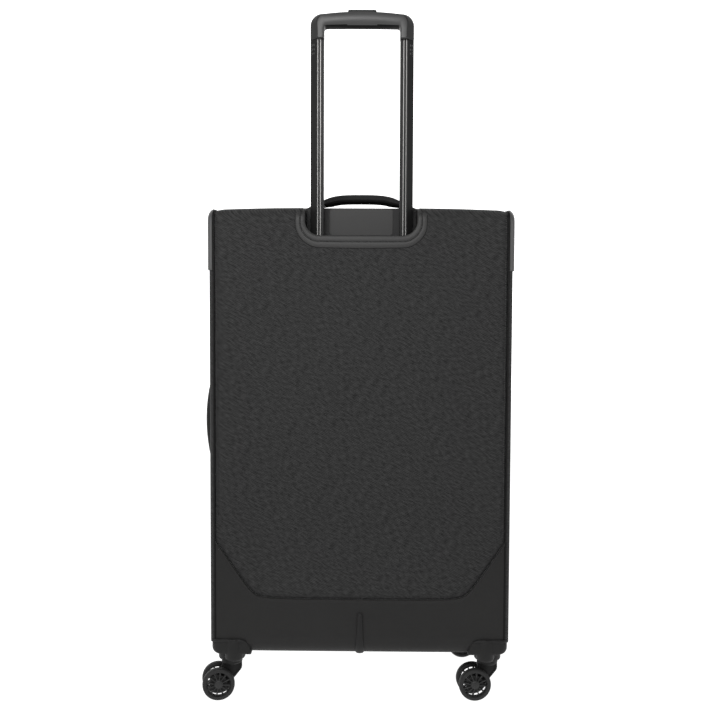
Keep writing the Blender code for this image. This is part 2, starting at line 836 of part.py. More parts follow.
def slider(name, at, turn, tab_shift, parent=None):
    """A zipper slider with its pull tab lying along the zipper.

    It is made for a zipper that runs along X on a surface that faces -Y, then turned.
    """
    frame = empty(name + "_frame", at, parent or CASE)
    frame.rotation_euler = turn
    made = block(
        name, (-0.007, -0.0055, -0.0045 + min(tab_shift, 0)), (0.007, -0.0004, 0.0045 + max(tab_shift, 0)),
        die_cast(), frame, rounding=0.0015,
    )
    tab = block(
        name + "_tab", (0.004, -0.0052, tab_shift - 0.004), (0.0235, -0.0030, tab_shift + 0.004), None, frame
    )
    return join(made, tab)


def sliders(hinge):
    side_x = HALF_W
    down = (0, radians(90), radians(90))
    up = (0, radians(-90), radians(90))
    slider("main_slider_upper", (side_x, ZIP_Y, SLIDER_Z_UPPER), down, 0.009)
    slider("main_slider_lower", (side_x, ZIP_Y, SLIDER_Z_LOWER), up, -0.009)
    for name, (low_z, high_z) in POCKETS_Z.items():
        at = Vector((POCKET_SLIDER_X, LID_Y, high_z + POCKET_ZIP_OVER)) - hinge.location
        slider(f"pocket_slider_{name}", at, (0, 0, 0), 0, hinge)


def lock():
    """A combination lock on the case's side: its body, three dials and a release button."""
    low_x, high_x = HALF_W + GAP, HALF_W + LOCK_OUT
    made = block(
        "lock_body", (low_x, LOCK_Y - LOCK_HALF_Y, LOCK_Z - LOCK_HALF_Z),
        (high_x, LOCK_Y + LOCK_HALF_Y, LOCK_Z + LOCK_HALF_Z), moulding(), rounding=0.003,
    )
    centre_x = HALF_W + DIAL_OUT
    for number in range(3):
        z = LOCK_Z + (number - 0.2) * DIAL_PITCH
        window = DIAL_R + 2 * GAP
        cut(made, block(
            f"dial_slot_{number + 1}", (centre_x - window, LOCK_Y - window, z - DIAL_HALF - GAP),
            (centre_x + 2 * window, LOCK_Y + window, z + DIAL_HALF + GAP),
        ))
        dial = drum(f"lock_dial_{number + 1}", DIAL_R, -DIAL_HALF, DIAL_HALF, finish=die_cast(), sides=20)
        dial.location = (centre_x, LOCK_Y, z)
    z = LOCK_Z - 0.018
    slot = block(
        "lock_button_slot", (HALF_W + 0.003, LOCK_Y - 0.0073, z - 0.0043), (FAR, LOCK_Y + 0.0073, z + 0.0043)
    )
    cut(made, slot)
    block(
        "lock_button", (HALF_W + 0.006, LOCK_Y - 0.007, z - 0.004),
        (high_x + 0.0015, LOCK_Y + 0.007, z + 0.004), die_cast(), rounding=0.001, segments=1,
    )


# ------------------------------------------------------------------ casters


def caster_housing(name, side, pivot_y):
    """A corner bumper with the round socket of the caster's kingpin."""
    made = bumper(f"caster_housing_{name}", side, pivot_y, 0, moulding())
    centre = (side * PIVOT_X, pivot_y)
    socket = drum(f"socket_{name}", SOCKET_R, SOCKET_Z, BOTTOM_Z - GAP, centre, sides=28)
    soften(socket, 0.002, 1, 60)
    bore = drum(f"kingpin_bore_{name}", KINGPIN_R + GAP, SOCKET_Z - 0.01, KINGPIN_Z + 0.001, centre, sides=16)
    return cut(join(made, socket), bore)


def fork(name, pivot):
    """The swivelling fork: a kingpin and flange over a central web that holds the axle."""
    web = rounded([
        (-0.0155, FORK_Z - 0.004, 0),
        (-0.0150, 0.0400, 0.012),
        (0.0080, 0.0165, 0.008),
        (TRAIL + 0.0040, 0.0165, 0.009),
        (TRAIL + 0.0080, 0.0300, 0.008),
        (0.0160, 0.0500, 0.006),
        (0.0155, FORK_Z - 0.004, 0),
    ], steps=3)
    made = slab(f"fork_{name}", web, "Y", -FORK_HALF, FORK_HALF, moulding(), pivot)
    flange = drum(f"flange_{name}", FORK_R, FORK_Z - 0.006, FORK_Z, parent=pivot)
    kingpin = drum(f"kingpin_{name}", KINGPIN_R, FORK_Z - 0.002, KINGPIN_Z, parent=pivot, sides=16)
    bore = drum(f"axle_bore_{name}", BORE_R, -0.03, 0.03, (TRAIL, WHEEL_R), parent=pivot, sides=16, axis="Y")
    bore.location = (0, 0, 0)
    return cut(join(made, flange, kingpin), bore)


WHEEL_PROFILE = [
    (WHEEL_R - 0.0025, WHEEL_HALF), (WHEEL_R, 0.003), (WHEEL_R, -0.003), (WHEEL_R - 0.0025, -WHEEL_HALF),
    (RIM_R, -WHEEL_HALF), (RIM_R, -DISC_HALF), (HUB_R, -DISC_HALF), (HUB_R, -WHEEL_HALF),
    (BORE_R, -WHEEL_HALF), (BORE_R, WHEEL_HALF), (HUB_R, WHEEL_HALF), (HUB_R, DISC_HALF),
    (RIM_R, DISC_HALF), (RIM_R, WHEEL_HALF),
]


def wheel(name, pivot, offset):
    """A wheel with a tyre, a thinner disc and a hub, on the axle."""
    made = turned(name, WHEEL_PROFILE, tyre(), pivot, closed=True)
    made.location = (TRAIL, offset, WHEEL_R)
    made.rotation_euler = (radians(90), 0, 0)
    return made


def caster(name, side, pivot_y, turn):
    caster_housing(name, side, pivot_y)
    pivot = empty(f"swivel_{name}", (side * PIVOT_X, pivot_y, 0), CASE, turn)
    fork(name, pivot)
    axle = drum(
        f"axle_{name}", AXLE_R, -WHEEL_OFFSET - WHEEL_HALF, WHEEL_OFFSET + WHEEL_HALF, finish=steel(),
        parent=pivot, sides=12,
    )
    axle.location = (TRAIL, 0, WHEEL_R)
    axle.rotation_euler = (radians(90), 0, 0)
    wheel(f"wheel_{name}_a", pivot, WHEEL_OFFSET)
    wheel(f"wheel_{name}_b", pivot, -WHEEL_OFFSET)


# ------------------------------------------------------------------ the whole suitcase


def build():
    rear_top_panel()
    kick_panel()
    side_panel("side_panel_left", -1)
    side_panel("side_panel_right", 1)
    base_tray()
    zipper_track()
    lining_panel()
    corner_guard("corner_guard_left", -1)
    corner_guard("corner_guard_right", 1)
    skid_rib()
    handle_housing()
    carry_handles()
    tube_foot()
    for side, word in ((-1, "left"), (1, "right")):
        outer_tube(f"outer_tube_{word}", side)
        inner_tube(f"inner_tube_{word}", side)
        end_bush(f"end_bush_{word}", side)
        push_rod(f"push_rod_{word}", side)
    grip()
    grip_button()
    hinge = empty("lid_hinge", (-HALF_W, ZIP_Y, 0), CASE)
    lid_panel(hinge)
    for name, (low_z, high_z) in POCKETS_Z.items():
        lid_pocket(f"lid_pocket_{name}", low_z, high_z, hinge)
    sliders(hinge)
    lock()
    for name, (side, pivot_y, turn) in CASTERS.items():
        caster(name, side, pivot_y, turn)


build()
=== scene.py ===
"""The looks of a softside upright suitcase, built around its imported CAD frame.

Metres, +Z up. The back with the telescopic handle faces +Y and the lid with the pockets faces -Y.
Pieces are modelled about the case's middle plane, x = 0, and are moved to its place in the frame
when they are made. Pieces of a caster are modelled about its swivel axis.
"""

import json
from math import asin, atan2, cos, pi, radians, sin, sqrt, tan

import bmesh
import bpy
from mathutils import Matrix, Vector


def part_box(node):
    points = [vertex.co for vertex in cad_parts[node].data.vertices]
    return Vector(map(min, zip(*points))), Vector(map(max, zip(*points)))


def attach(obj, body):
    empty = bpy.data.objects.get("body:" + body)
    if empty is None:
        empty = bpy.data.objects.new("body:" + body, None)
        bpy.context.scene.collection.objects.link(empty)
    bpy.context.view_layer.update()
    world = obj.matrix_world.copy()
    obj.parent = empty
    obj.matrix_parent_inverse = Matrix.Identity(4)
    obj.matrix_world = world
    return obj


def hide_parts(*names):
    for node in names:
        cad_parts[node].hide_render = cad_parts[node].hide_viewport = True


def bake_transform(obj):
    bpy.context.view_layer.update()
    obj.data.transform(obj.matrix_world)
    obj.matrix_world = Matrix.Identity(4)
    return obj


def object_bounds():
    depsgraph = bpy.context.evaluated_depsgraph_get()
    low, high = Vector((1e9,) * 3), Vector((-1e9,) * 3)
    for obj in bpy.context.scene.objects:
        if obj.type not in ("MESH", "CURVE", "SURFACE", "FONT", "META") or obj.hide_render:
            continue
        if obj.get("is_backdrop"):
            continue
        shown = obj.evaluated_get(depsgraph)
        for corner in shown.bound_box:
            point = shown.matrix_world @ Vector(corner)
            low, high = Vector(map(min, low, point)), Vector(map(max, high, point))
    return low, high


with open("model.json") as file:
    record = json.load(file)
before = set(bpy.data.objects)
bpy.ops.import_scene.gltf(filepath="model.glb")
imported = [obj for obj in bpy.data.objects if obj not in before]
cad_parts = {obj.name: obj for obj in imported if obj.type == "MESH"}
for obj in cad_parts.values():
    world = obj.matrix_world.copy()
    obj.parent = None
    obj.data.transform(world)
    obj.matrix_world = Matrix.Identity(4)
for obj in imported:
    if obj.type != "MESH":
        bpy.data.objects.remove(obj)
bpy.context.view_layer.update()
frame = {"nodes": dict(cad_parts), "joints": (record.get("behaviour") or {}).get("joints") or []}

# ------------------------------------------------------------------ sizes, from the frame

MID_X = sum(corner.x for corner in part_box("rear_top_panel")) / 2


def box(node):
    """A node's lowest and highest corner, measured from the case's middle plane."""
    low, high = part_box(node)
    shift = Vector((MID_X, 0, 0))
    return low - shift, high - shift


BACK_LOW, BACK_HIGH = box("rear_top_panel")
SEAM_X = BACK_HIGH.x
REAR_Y = BACK_HIGH.y
TOP_Z = BACK_HIGH.z
BAND_Y = BACK_LOW.y  # where the panels stop and the zipper's tape starts
KICK_Z = BACK_LOW.z - 0.0046
KICK_SIDE_Z = box("kick_panel")[1].z - 0.008
KICK_UNDER_Y = box("kick_panel")[0].y
HALF_W = box("side_panel_right")[1].x
BOTTOM_Z = box("base_tray")[0].z
ZIP_Y = box("zipper_track")[0].y
LID_Y = box("lid_panel")[0].y
R_REAR = 0.021  # the case's roundings: rear edges, front edges and side edges
R_FRONT = 0.012
R_SIDE = 0.01
KICK_CORNER_X = 0.168
SKIN = 0.0035
SEAM_GAP = 0.0012  # from a seam's middle to each panel's edge
CASE_CENTRE = Vector((0, 0, 0.44))

# ------------------------------------------------------------------ shader helpers


def node(tree, kind, values=None, **settings):
    """One shader node. Its inputs are given as plain values or as other nodes' outputs."""
    made = tree.nodes.new("ShaderNode" + kind)
    for key, value in settings.items():
        setattr(made, key, value)
    for key, value in (values or {}).items():
        if isinstance(value, bpy.types.NodeSocket):
            tree.links.new(value, made.inputs[key])
        else:
            made.inputs[key].default_value = value
    return made


def maths(tree, operation, one, two=0.0, three=0.0):
    values = {0: one, 1: two, 2: three}
    return node(tree, "Math", values, operation=operation).outputs[0]


def place_on(tree):
    return node(tree, "TexCoord").outputs["Object"]


def along(tree, direction, length):
    """The place along a direction, counted in steps of a length."""
    made = node(tree, "VectorMath", {0: place_on(tree), 1: direction}, operation="DOT_PRODUCT")
    return maths(tree, "DIVIDE", made.outputs["Value"], length)


def noise(tree, size, detail=2.0, stretch=(1, 1, 1)):
    """Noise with features of about a size, stretched along the axes."""
    scale = [1 / (size * share) for share in stretch]
    mapped = node(tree, "VectorMath", {0: place_on(tree), 1: scale}, operation="MULTIPLY")
    values = {"Vector": mapped.outputs[0], "Scale": 1.0, "Detail": detail, "Roughness": 0.55}
    return node(tree, "TexNoise", values).outputs["Fac"]


def blend_of(tree, *parts):
    """The weighted sum of (socket, weight) pairs."""
    total = None
    for value, weight in parts:
        total = maths(tree, "MULTIPLY_ADD", value, weight, total if total is not None else 0.0)
    return total


def ramp(tree, value, stops):
    """A grey or tinted ramp from (position, colour) stops."""
    made = node(tree, "ValToRGB", {"Fac": value})
    for index, (position, colour) in enumerate(stops):
        stop = made.color_ramp.elements[index] if index < 2 else made.color_ramp.elements.new(position)
        stop.position = position
        stop.color = (*colour, 1)
    return made.outputs["Color"]


def finish_of(name, tint, roughness, metallic=0.0, **extra):
    """A new material with its plain values set; returns it with its tree and shader."""
    made = bpy.data.materials.new(name)
    made.use_nodes = True
    shader = made.node_tree.nodes["Principled BSDF"]
    shader.inputs["Base Color"].default_value = (*tint, 1)
    shader.inputs["Roughness"].default_value = roughness
    shader.inputs["Metallic"].default_value = metallic
    for key, value in extra.items():
        shader.inputs[key.replace("_", " ")].default_value = value
    return made, made.node_tree, shader


def relief(tree, shader, height, depth, strength=1.0):
    """Bump from a height between 0 and 1, of a real depth."""
    values = {"Height": height, "Strength": strength, "Distance": depth}
    made = node(tree, "Bump", values)
    tree.links.new(made.outputs["Normal"], shader.inputs["Normal"])


def paint(tree, shader, value, dark, light):
    """Base colour between two colours by a value."""
    tree.links.new(ramp(tree, value, [(0.0, dark), (1.0, light)]), shader.inputs["Base Color"])


def roughen(tree, shader, value, low, high):
    """Roughness between two numbers by a value."""
    made = node(tree, "MapRange", {"Value": value, "To Min": low, "To Max": high})
    tree.links.new(made.outputs["Result"], shader.inputs["Roughness"])


def grey(value, warm=0.0):
    """A nearly neutral colour."""
    return (value * (1 + warm), value, value * (1 - warm))


TWILL_DOWN = (-0.47, 0.47, 0.88)  # across the twill's lines, on the back, the sides and the top
TWILL_RUN = (0.88, 0.75, 0.47)


def woven(name, dark, light, line, run, sheen=0.08, roughness=0.85):
    """A twill: slanting lines of a pitch, broken into floats, with slubs along them."""
    made, tree, shader = finish_of(
        name, light, roughness, Sheen_Weight=sheen, Sheen_Roughness=0.45, Specular_IOR_Level=0.2
    )
    turn = 2 * pi
    floats = maths(tree, "SINE", maths(tree, "MULTIPLY", along(tree, TWILL_RUN, run), turn))
    wander = maths(tree, "MULTIPLY", noise(tree, 0.03), 2.5)
    lines = maths(tree, "MULTIPLY_ADD", along(tree, TWILL_DOWN, line), turn, wander)
    ridge = maths(tree, "SINE", maths(tree, "MULTIPLY_ADD", floats, 0.7, lines))
    height = maths(tree, "MULTIPLY_ADD", ridge, 0.5, 0.5)
    slub_place = node(tree, "CombineXYZ", {
        "X": along(tree, TWILL_DOWN, 0.0026), "Y": along(tree, TWILL_RUN, 0.009), "Z": 0.0,
    })
    values = {"Vector": slub_place.outputs[0], "Scale": 1.0, "Detail": 1.5}
    slub = node(tree, "TexNoise", values).outputs["Fac"]
    shade = blend_of(tree, (height, 0.4), (slub, 1.5), (noise(tree, 0.12), 0.1))
    paint(tree, shader, maths(tree, "SUBTRACT", shade, 0.5), dark, light)
    relief(tree, shader, height, 0.00035, 0.6)
    roughen(tree, shader, slub, roughness - 0.06, roughness + 0.08)
    return made


def twill():
    """The case's main cloth."""
    return woven("twill_fabric", grey(0.005), grey(0.037), 0.0024, 0.002)


def kick_cloth():
    """The smoother, closer cloth of the kick panel and the base."""
    made, tree, shader = finish_of(
        "smooth_fabric", grey(0.03), 0.7, Sheen_Weight=0.05, Sheen_Roughness=0.4, Specular_IOR_Level=0.2
    )
    threads = blend_of(
        tree, (maths(tree, "SINE", along(tree, (1, 1, 0), 0.00011)), 0.25),
        (maths(tree, "SINE", along(tree, (0, 0, 1), 0.00011)), 0.25),
    )
    height = maths(tree, "ADD", threads, 0.5)
    shade = blend_of(tree, (noise(tree, 0.004, 3), 0.4), (noise(tree, 0.15), 0.6))
    paint(tree, shader, shade, grey(0.0095, 0.02), grey(0.016, 0.02))
    relief(tree, shader, height, 0.00012, 0.5)
    roughen(tree, shader, noise(tree, 0.02, 3), 0.55, 0.7)
    return made


WEAVES = {
    # tint, roughness, sheen, its roughness, specular; directions and pitches of both yarns;
    # size and weight of the mottling; colours of its hollows and threads; bump depth and strength
    "lining_fabric": (
        (0.16, 0.6, 0.3, 0.35, 0.4), ((1, 1, 1), 0.00016, (1, 1, -1), 0.00016),
        (0.03, 0.6), (0.1, 0.19), (0.0001, 0.5),
    ),
    "netting": (
        (0.03, 0.6, 0.2, 0.4, 0.4), ((1, 0, 1), 0.00032, (1, 0, -1), 0.00032),
        (0.03, 0.0), (0.1, 0.012), (0.0002, 0.6),
    ),
    "webbing": (
        (0.02, 0.75, 0.05, 0.4, 0.2), ((1, 0, 1), 0.00022, (0, 1, 0), 0.0003),
        (0.01, 0.5), (0.007, 0.019), (0.0003, 0.7),
    ),
}


def plain_weave(name):
    """A plain weave: two yarns that cross, mottled a little."""
    surface, yarns, mottling, colours, bump = WEAVES[name]
    tint, rough, sheen, sheen_rough, specular = surface
    made, tree, shader = finish_of(
        name, grey(tint), rough, Sheen_Weight=sheen, Sheen_Roughness=sheen_rough,
        Specular_IOR_Level=specular,
    )
    one = maths(tree, "SINE", along(tree, yarns[0], yarns[1]))
    two = maths(tree, "SINE", along(tree, yarns[2], yarns[3]))
    weave = maths(tree, "MULTIPLY_ADD", maths(tree, "MULTIPLY", one, two), 0.5, 0.5)
    size, weight = mottling
    shade = blend_of(tree, (weave, 1 - weight), (noise(tree, size, 3), weight)) if weight else weave
    paint(tree, shader, shade, grey(colours[0]), grey(colours[1]))
    relief(tree, shader, weave, *bump)
    return made


def under_webbing():
    """Painted shade: a darker cloth for the under side of a soft strap or grip, where its shadow falls."""
    made, tree, shader = finish_of("under_webbing", grey(0.004), 0.8, Specular_IOR_Level=0.15)
    paint(tree, shader, noise(tree, 0.006, 3), grey(0.003), grey(0.008))
    relief(tree, shader, noise(tree, 0.0008, 2), 0.0001, 0.5)
    return made


FINE_GRAIN, COARSE_GRAIN = 0.0007, 0.0009
PLASTICS = {  # dark, light, warmth, least and most roughness, specular, grain
    "bezel_plastic": (0.019, 0.035, 0.01, 0.48, 0.62, 0.28, FINE_GRAIN),
    "recess_plastic": (0.033, 0.051, 0.01, 0.55, 0.68, 0.2, FINE_GRAIN),
    "grip_side_plastic": (0.011, 0.02, 0.0, 0.45, 0.6, 0.3, COARSE_GRAIN),
    "guard_plastic": (0.034, 0.062, 0.0, 0.3, 0.44, 0.5, FINE_GRAIN),
    "moulded_plastic": (0.006, 0.015, 0.01, 0.48, 0.64, 0.2, FINE_GRAIN),
    # The dark plastic is also put on the recess tray's walls and on the wheels' webs as painted shade.
    "dark_plastic": (0.004, 0.01, 0.0, 0.5, 0.7, 0.3, FINE_GRAIN),
    "grip_plastic": (0.028, 0.052, 0.0, 0.4, 0.54, 0.4, COARSE_GRAIN),
    "wheel_plastic": (0.01, 0.027, 0.0, 0.42, 0.6, 0.3, FINE_GRAIN),
    "wheel_tread": (0.01, 0.023, 0.0, 0.55, 0.75, 0.25, FINE_GRAIN),
}


def moulded(name):
    """Moulded plastic: a fine spark-eroded grain, rubbed a little where it is handled."""
    dark, light, warm, low, high, specular, grain = PLASTICS[name]
    made, tree, shader = finish_of(name, grey(light, warm), high, Specular_IOR_Level=specular)
    fine = noise(tree, grain, 2)
    rub = noise(tree, 0.035, 4)
    paint(tree, shader, blend_of(tree, (fine, 0.45), (rub, 0.55)), grey(dark, warm), grey(light, warm))
    relief(tree, shader, fine, 0.00008, 0.6)
    roughen(tree, shader, rub, low, high)
    return made


def piping():
    """A dark cord bound in cloth. It also makes the thin dark line round the bezel's edge, which is painted
    shadow.
    """
    made, tree, shader = finish_of("piping", grey(0.004), 0.6, Specular_IOR_Level=0.15)
    cords = maths(tree, "SINE", along(tree, (1, 1, 1), 0.0004))
    paint(tree, shader, noise(tree, 0.004, 3), grey(0.002), grey(0.006))
    relief(tree, shader, maths(tree, "MULTIPLY_ADD", cords, 0.5, 0.5), 0.0001, 0.5)
    return made


def thread():
    """Sewing thread, twisted."""
    made, tree, shader = finish_of("thread", grey(0.04), 0.5, Sheen_Weight=0.2, Sheen_Roughness=0.3)
    twist = maths(tree, "MULTIPLY_ADD", maths(tree, "SINE", along(tree, (1, 1, 1), 0.00008)), 0.5, 0.5)
    paint(tree, shader, twist, grey(0.02), grey(0.055))
    return made


METALS = {  # dark, light, warmth, least and most roughness, metallic, specular
    "black_aluminium": (0.006, 0.014, 0.0, 0.42, 0.58, 0.0, 0.15),
    "bright_aluminium": (0.13, 0.24, 0.02, 0.42, 0.56, 0.9, 0.5),
    "steel": (0.35, 0.6, 0.0, 0.2, 0.35, 1.0, 0.5),
}


def brushed(name):
    """Metal with fine scratches along the tube."""
    dark, light, warm, low, high, metallic, specular = METALS[name]
    made, tree, shader = finish_of(name, grey(light, warm), low, metallic, Specular_IOR_Level=specular)
    lines = noise(tree, 0.0005, 2, (1, 1, 160))
    wear = noise(tree, 0.02, 4, (1, 1, 4))
    shade = blend_of(tree, (lines, 0.5), (wear, 0.5))
    paint(tree, shader, shade, grey(dark, warm), grey(light, warm))
    relief(tree, shader, lines, 0.00002, 0.35)
    roughen(tree, shader, blend_of(tree, (lines, 0.6), (wear, 0.4)), low, high)
    return made


def die_cast():
    """Painted zinc with worn edges."""
    made, tree, shader = finish_of("die_cast", grey(0.06), 0.35, 0.85)
    wear = noise(tree, 0.006, 4)
    paint(tree, shader, wear, grey(0.035), grey(0.12))
    roughen(tree, shader, wear, 0.25, 0.42)
    relief(tree, shader, noise(tree, 0.0012, 2), 0.00004, 0.4)
    return made


MAKERS = {
    "twill_fabric": twill, "smooth_fabric": kick_cloth, "under_webbing": under_webbing, "piping": piping,
    "thread": thread, "die_cast": die_cast,
}
MATERIALS = {}


def material(name):
    """A material by its name, made when it is first asked for."""
    if name not in MATERIALS:
        for table, make in ((PLASTICS, moulded), (METALS, brushed), (WEAVES, plain_weave)):
            if name in table:
                MATERIALS[name] = make(name)
        if name in MAKERS:
            MATERIALS[name] = MAKERS[name]()
    return MATERIALS[name]


# ------------------------------------------------------------------ mesh helpers


def smooth(share):
    share = min(max(share, 0.0), 1.0)
    return share * share * (3 - 2 * share)


def spread(first, last, count):
    """Numbers from first to last in equal steps."""
    return [first + (last - first) * step / count for step in range(count + 1)]


CROWN_FROM = TOP_Z - 0.035
HANDLE_SHIFT = -0.0005  # the telescopic handle stands a little to one side, within its clearance


def crowned(point):
    """The soft crown of the case's top: higher at the middle, lower at both ends."""
    lift = 0.002 * (1 - (abs(point.x) / HALF_W) ** 3) - 0.004
    behind = REAR_Y - point.y
    hump = smooth((behind - 0.012) / 0.034) * (1 - smooth((behind - 0.11) / 0.08))
    lift += 0.0028 * hump * (1 - (abs(point.x) / HALF_W) ** 4)
    rise = smooth((point.z - CROWN_FROM) / (TOP_Z - CROWN_FROM))
    return point + Vector((0, 0, lift * rise))


def sagged(point):
    """The lower edge of the back hangs a little, more on one side than on the other."""
    drop = (0.0024 - 0.005 * point.x) * (1 - (abs(point.x) / HALF_W) ** 6)
    low = 1 - smooth((point.z - BOTTOM_Z) / 0.03)
    return point - Vector((0, 0, drop * low))


def piece(
    name, bm, finishes, body="case", stands_for=(), crown=False, inside=None,
    sharp=40, sag=False,
):
    """Make an object of a bmesh, in its place on its body.

    finishes are its materials' names, with spaces between. stands_for are the CAD nodes it
    replaces. inside is a point behind an open sheet, for turning its faces outwards.
    """
    bmesh.ops.remove_doubles(bm, verts=bm.verts, dist=0.00001)
    bmesh.ops.dissolve_degenerate(bm, dist=0.000005, edges=bm.edges)
    bmesh.ops.recalc_face_normals(bm, faces=bm.faces)
    if inside is not None:
        facing = sum(face.normal.dot(face.calc_center_median() - inside) for face in bm.faces)
        if facing < 0:
            bmesh.ops.reverse_faces(bm, faces=bm.faces)
    if crown:
        for vert in bm.verts:
            vert.co = crowned(vert.co)
    if sag:
        for vert in bm.verts:
            vert.co = sagged(vert.co)
    mesh = bpy.data.meshes.new(name)
    bm.to_mesh(mesh)
    bm.free()
    shift = HANDLE_SHIFT if body in ("handle", "release") else 0.0
    mesh.transform(Matrix.Translation((MID_X + shift, 0, 0)))
    made = bpy.data.objects.new(name, mesh)
    bpy.context.scene.collection.objects.link(made)
    for finish in finishes.split():
        mesh.materials.append(material(finish))
    mesh.shade_smooth()
    mesh.set_sharp_from_angle(angle=radians(sharp))
    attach(made, body)
    if stands_for:
        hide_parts(*stands_for)
    return made


def thicken(made, thickness, inner=0):
    """Give an open sheet its thickness, inwards; the inner face may have its own material."""
    solid = made.modifiers.new("thickness", "SOLIDIFY")
    solid.thickness = thickness
    solid.offset = -1
    solid.material_offset = inner
    return made


def soften(made, width, segments=2, angle=35):
    """Round an object's edges."""
    bevel = made.modifiers.new("edges", "BEVEL")
    bevel.width = width
    bevel.segments = segments
    bevel.limit_method = "ANGLE"
    bevel.angle_limit = radians(angle)
    bevel.harden_normals = True
    return made


def swept(name, path, ups, section, finish, body, ring=True, crown=False, slot="webbing"):
    """A piece that is one section swept along a path."""
    bm = bmesh.new()
    sweep(bm, path, ups, section, ring)
    return piece(name, bm, finish, body, crown=crown)


def stitching(name, lines, body, crown=False, ring=False, pitch=0.0036):
    """A piece of stitches along lines, each a path and its outward directions."""
    bm = bmesh.new()
    for path, ups in lines:
        stitch(bm, path, ups, ring, pitch)
    piece(name, bm, "thread", body, crown=crown)


def quads(bm, rows, closed=False, finish=0, skip=None):
    """Faces between rows of points; closed rows join end to end."""
    made = [[bm.verts.new(point) for point in row] for row in rows]
    for one, two in zip(made, made[1:]):
        for index in range(len(one) if closed else len(one) - 1):
            after = (index + 1) % len(one)
            corners = (one[index], one[after], two[after], two[index])
            if skip and skip(sum((corner.co for corner in corners), Vector()) / 4):
                continue
            bm.faces.new(corners).material_index = finish
    return made


def loft(bm, sections, ring=False):
    """A skin over closed sections, with its ends closed unless it is a ring."""
    made = quads(bm, sections + sections[:1] if ring else sections, True)
    if not ring:
        for end in (made[0], made[-1]):
            bm.faces.new(end)


def circle(radius, sides=10):
    angles = spread(0, 2 * pi, sides)[:-1]
    return [(radius * cos(angle), radius * sin(angle)) for angle in angles]


def along_all(path, ups):
    """One direction for each place of a path, where only one is given for all."""
    return [ups] * len(path) if isinstance(ups, Vector) else list(ups)


def sweep(bm, path, ups, section, ring=False):
    """A section swept along a path; ups are the directions of its second coordinate."""
    sections = []
    count = len(path)
    ups = along_all(path, ups)
    for index, (here, up) in enumerate(zip(path, ups)):
        before = path[index - 1] if ring or index else here
        after = path[(index + 1) % count] if ring or index < count - 1 else here
        side = (after - before).cross(up).normalized()
        top = side.cross((after - before).normalized())
        sections.append([here + side * a + top * b for a, b in section])
    loft(bm, sections, ring)


def walk(path, ups, step, ring=False):
    """Places a step apart along a path: (place, direction, up)."""
    path, ups = list(path), along_all(path, ups)
    if ring:
        path, ups = path + path[:1], ups + ups[:1]
    places = []
    ahead = step / 2
    for one, two, up, next_up in zip(path, path[1:], ups, ups[1:]):
        run = two - one
        while ahead <= run.length and run.length > 0:
            share = ahead / run.length
            places.append((one + run * share, run.normalized(), up.lerp(next_up, share).normalized()))
            ahead += step
        ahead -= run.length
    return places


def lozenge(bm, at, direction, up, length, width, height):
    """A small raised thread or tooth: pointed ends and a four-sided middle."""
    side = direction.cross(up).normalized()
    ends = [bm.verts.new(at + direction * length * share) for share in (-0.5, 0.5)]
    rings = []
    for share in (-0.3, 0.3):
        middle = at + direction * length * share
        corners = (side * width / 2, up * height, side * -width / 2, up * -height)
        rings.append([bm.verts.new(middle + corner) for corner in corners])
    for index in range(4):
        after = (index + 1) % 4
        bm.faces.new((rings[0][index], rings[0][after], rings[1][after], rings[1][index]))
        for end, ring in zip(ends, rings):
            bm.faces.new((end, ring[index], ring[after]))


def stitch(bm, path, ups, ring=False, pitch=0.0036):
    """A line of stitches along a path."""
    for at, direction, up in walk(path, ups, pitch, ring):
        lozenge(bm, at, direction, up, pitch * 0.75, 0.0007, 0.0004)


def strip(half, up=0.0006, down=0.0006):
    """A flat section, as of a tape or a strap."""
    return [(-half, up), (half, up), (half, -down), (-half, -down)]


def rounded(corners, steps=6):
    """An outline from (a, b, radius) corners, each rounded with an arc."""
    outline = []
    for index, (a, b, radius) in enumerate(corners):
        here = Vector((a, b))
        back = (Vector(corners[index - 1][:2]) - here).normalized()
        ahead = (Vector(corners[(index + 1) % len(corners)][:2]) - here).normalized()
        if radius <= 0:
            outline.append((a, b))
            continue
        half = back.angle(ahead) / 2
        centre = here + (back + ahead).normalized() * radius / sin(half)
        start = here + back * radius / tan(half) - centre
        end = here + ahead * radius / tan(half) - centre
        first = atan2(start.y, start.x)
        sweep_angle = (atan2(end.y, end.x) - first + pi) % (2 * pi) - pi
        for step in range(steps + 1):
            angle = first + sweep_angle * step / steps
            outline.append((centre.x + radius * cos(angle), centre.y + radius * sin(angle)))
    return outline


def grown(outline, distance):
    """The outline moved outwards by a distance, or inwards where it is negative."""
    points = [Vector(point) for point in outline]
    area = sum(a.x * b.y - b.x * a.y for a, b in zip(points, points[1:] + points[:1]))
    side = 1 if area > 0 else -1
    moved = []
    for index, here in enumerate(points):
        before = (here - points[index - 1]).normalized()
        after = (points[(index + 1) % len(points)] - here).normalized()
        one = Vector((before.y, -before.x)) * side
        two = Vector((after.y, -after.x)) * side
        moved.append(here + (one + two) * distance / (1 + one.dot(two)))
    return [(point.x, point.y) for point in moved]


def runs(low, high, radii, counts, arc=3):
    """The four sides of a rounded rectangle, each from half way round one corner to the next.

    radii start at the lower left corner and go round; counts are the steps along both axes.
    """
    (left, bottom), (right, top) = low, high
    centres = (
        (left + radii[0], bottom + radii[0]), (right - radii[1], bottom + radii[1]),
        (right - radii[2], top - radii[2]), (left + radii[3], top - radii[3]),
    )

    def corner(index, share):
        angle = pi + (index + share) * pi / 2
        a, b = centres[index]
        return Vector((a + radii[index] * cos(angle), b + radii[index] * sin(angle)))

    sides = []
    for index in range(4):
        after = (index + 1) % 4
        count = counts[index % 2]
        first = [corner(index, 0.5 + 0.5 * step / arc) for step in range(arc)] if radii[index] else []
        last = [corner(after, 0.5 * step / arc) for step in range(1, arc + 1)] if radii[after] else []
        count += 2 * arc - len(first) - len(last)
        one, two = corner(index, 1), corner(after, 0)
        middle = [one.lerp(two, step / count) for step in range(count + 1)]
        sides.append(first + middle + last)
    return sides


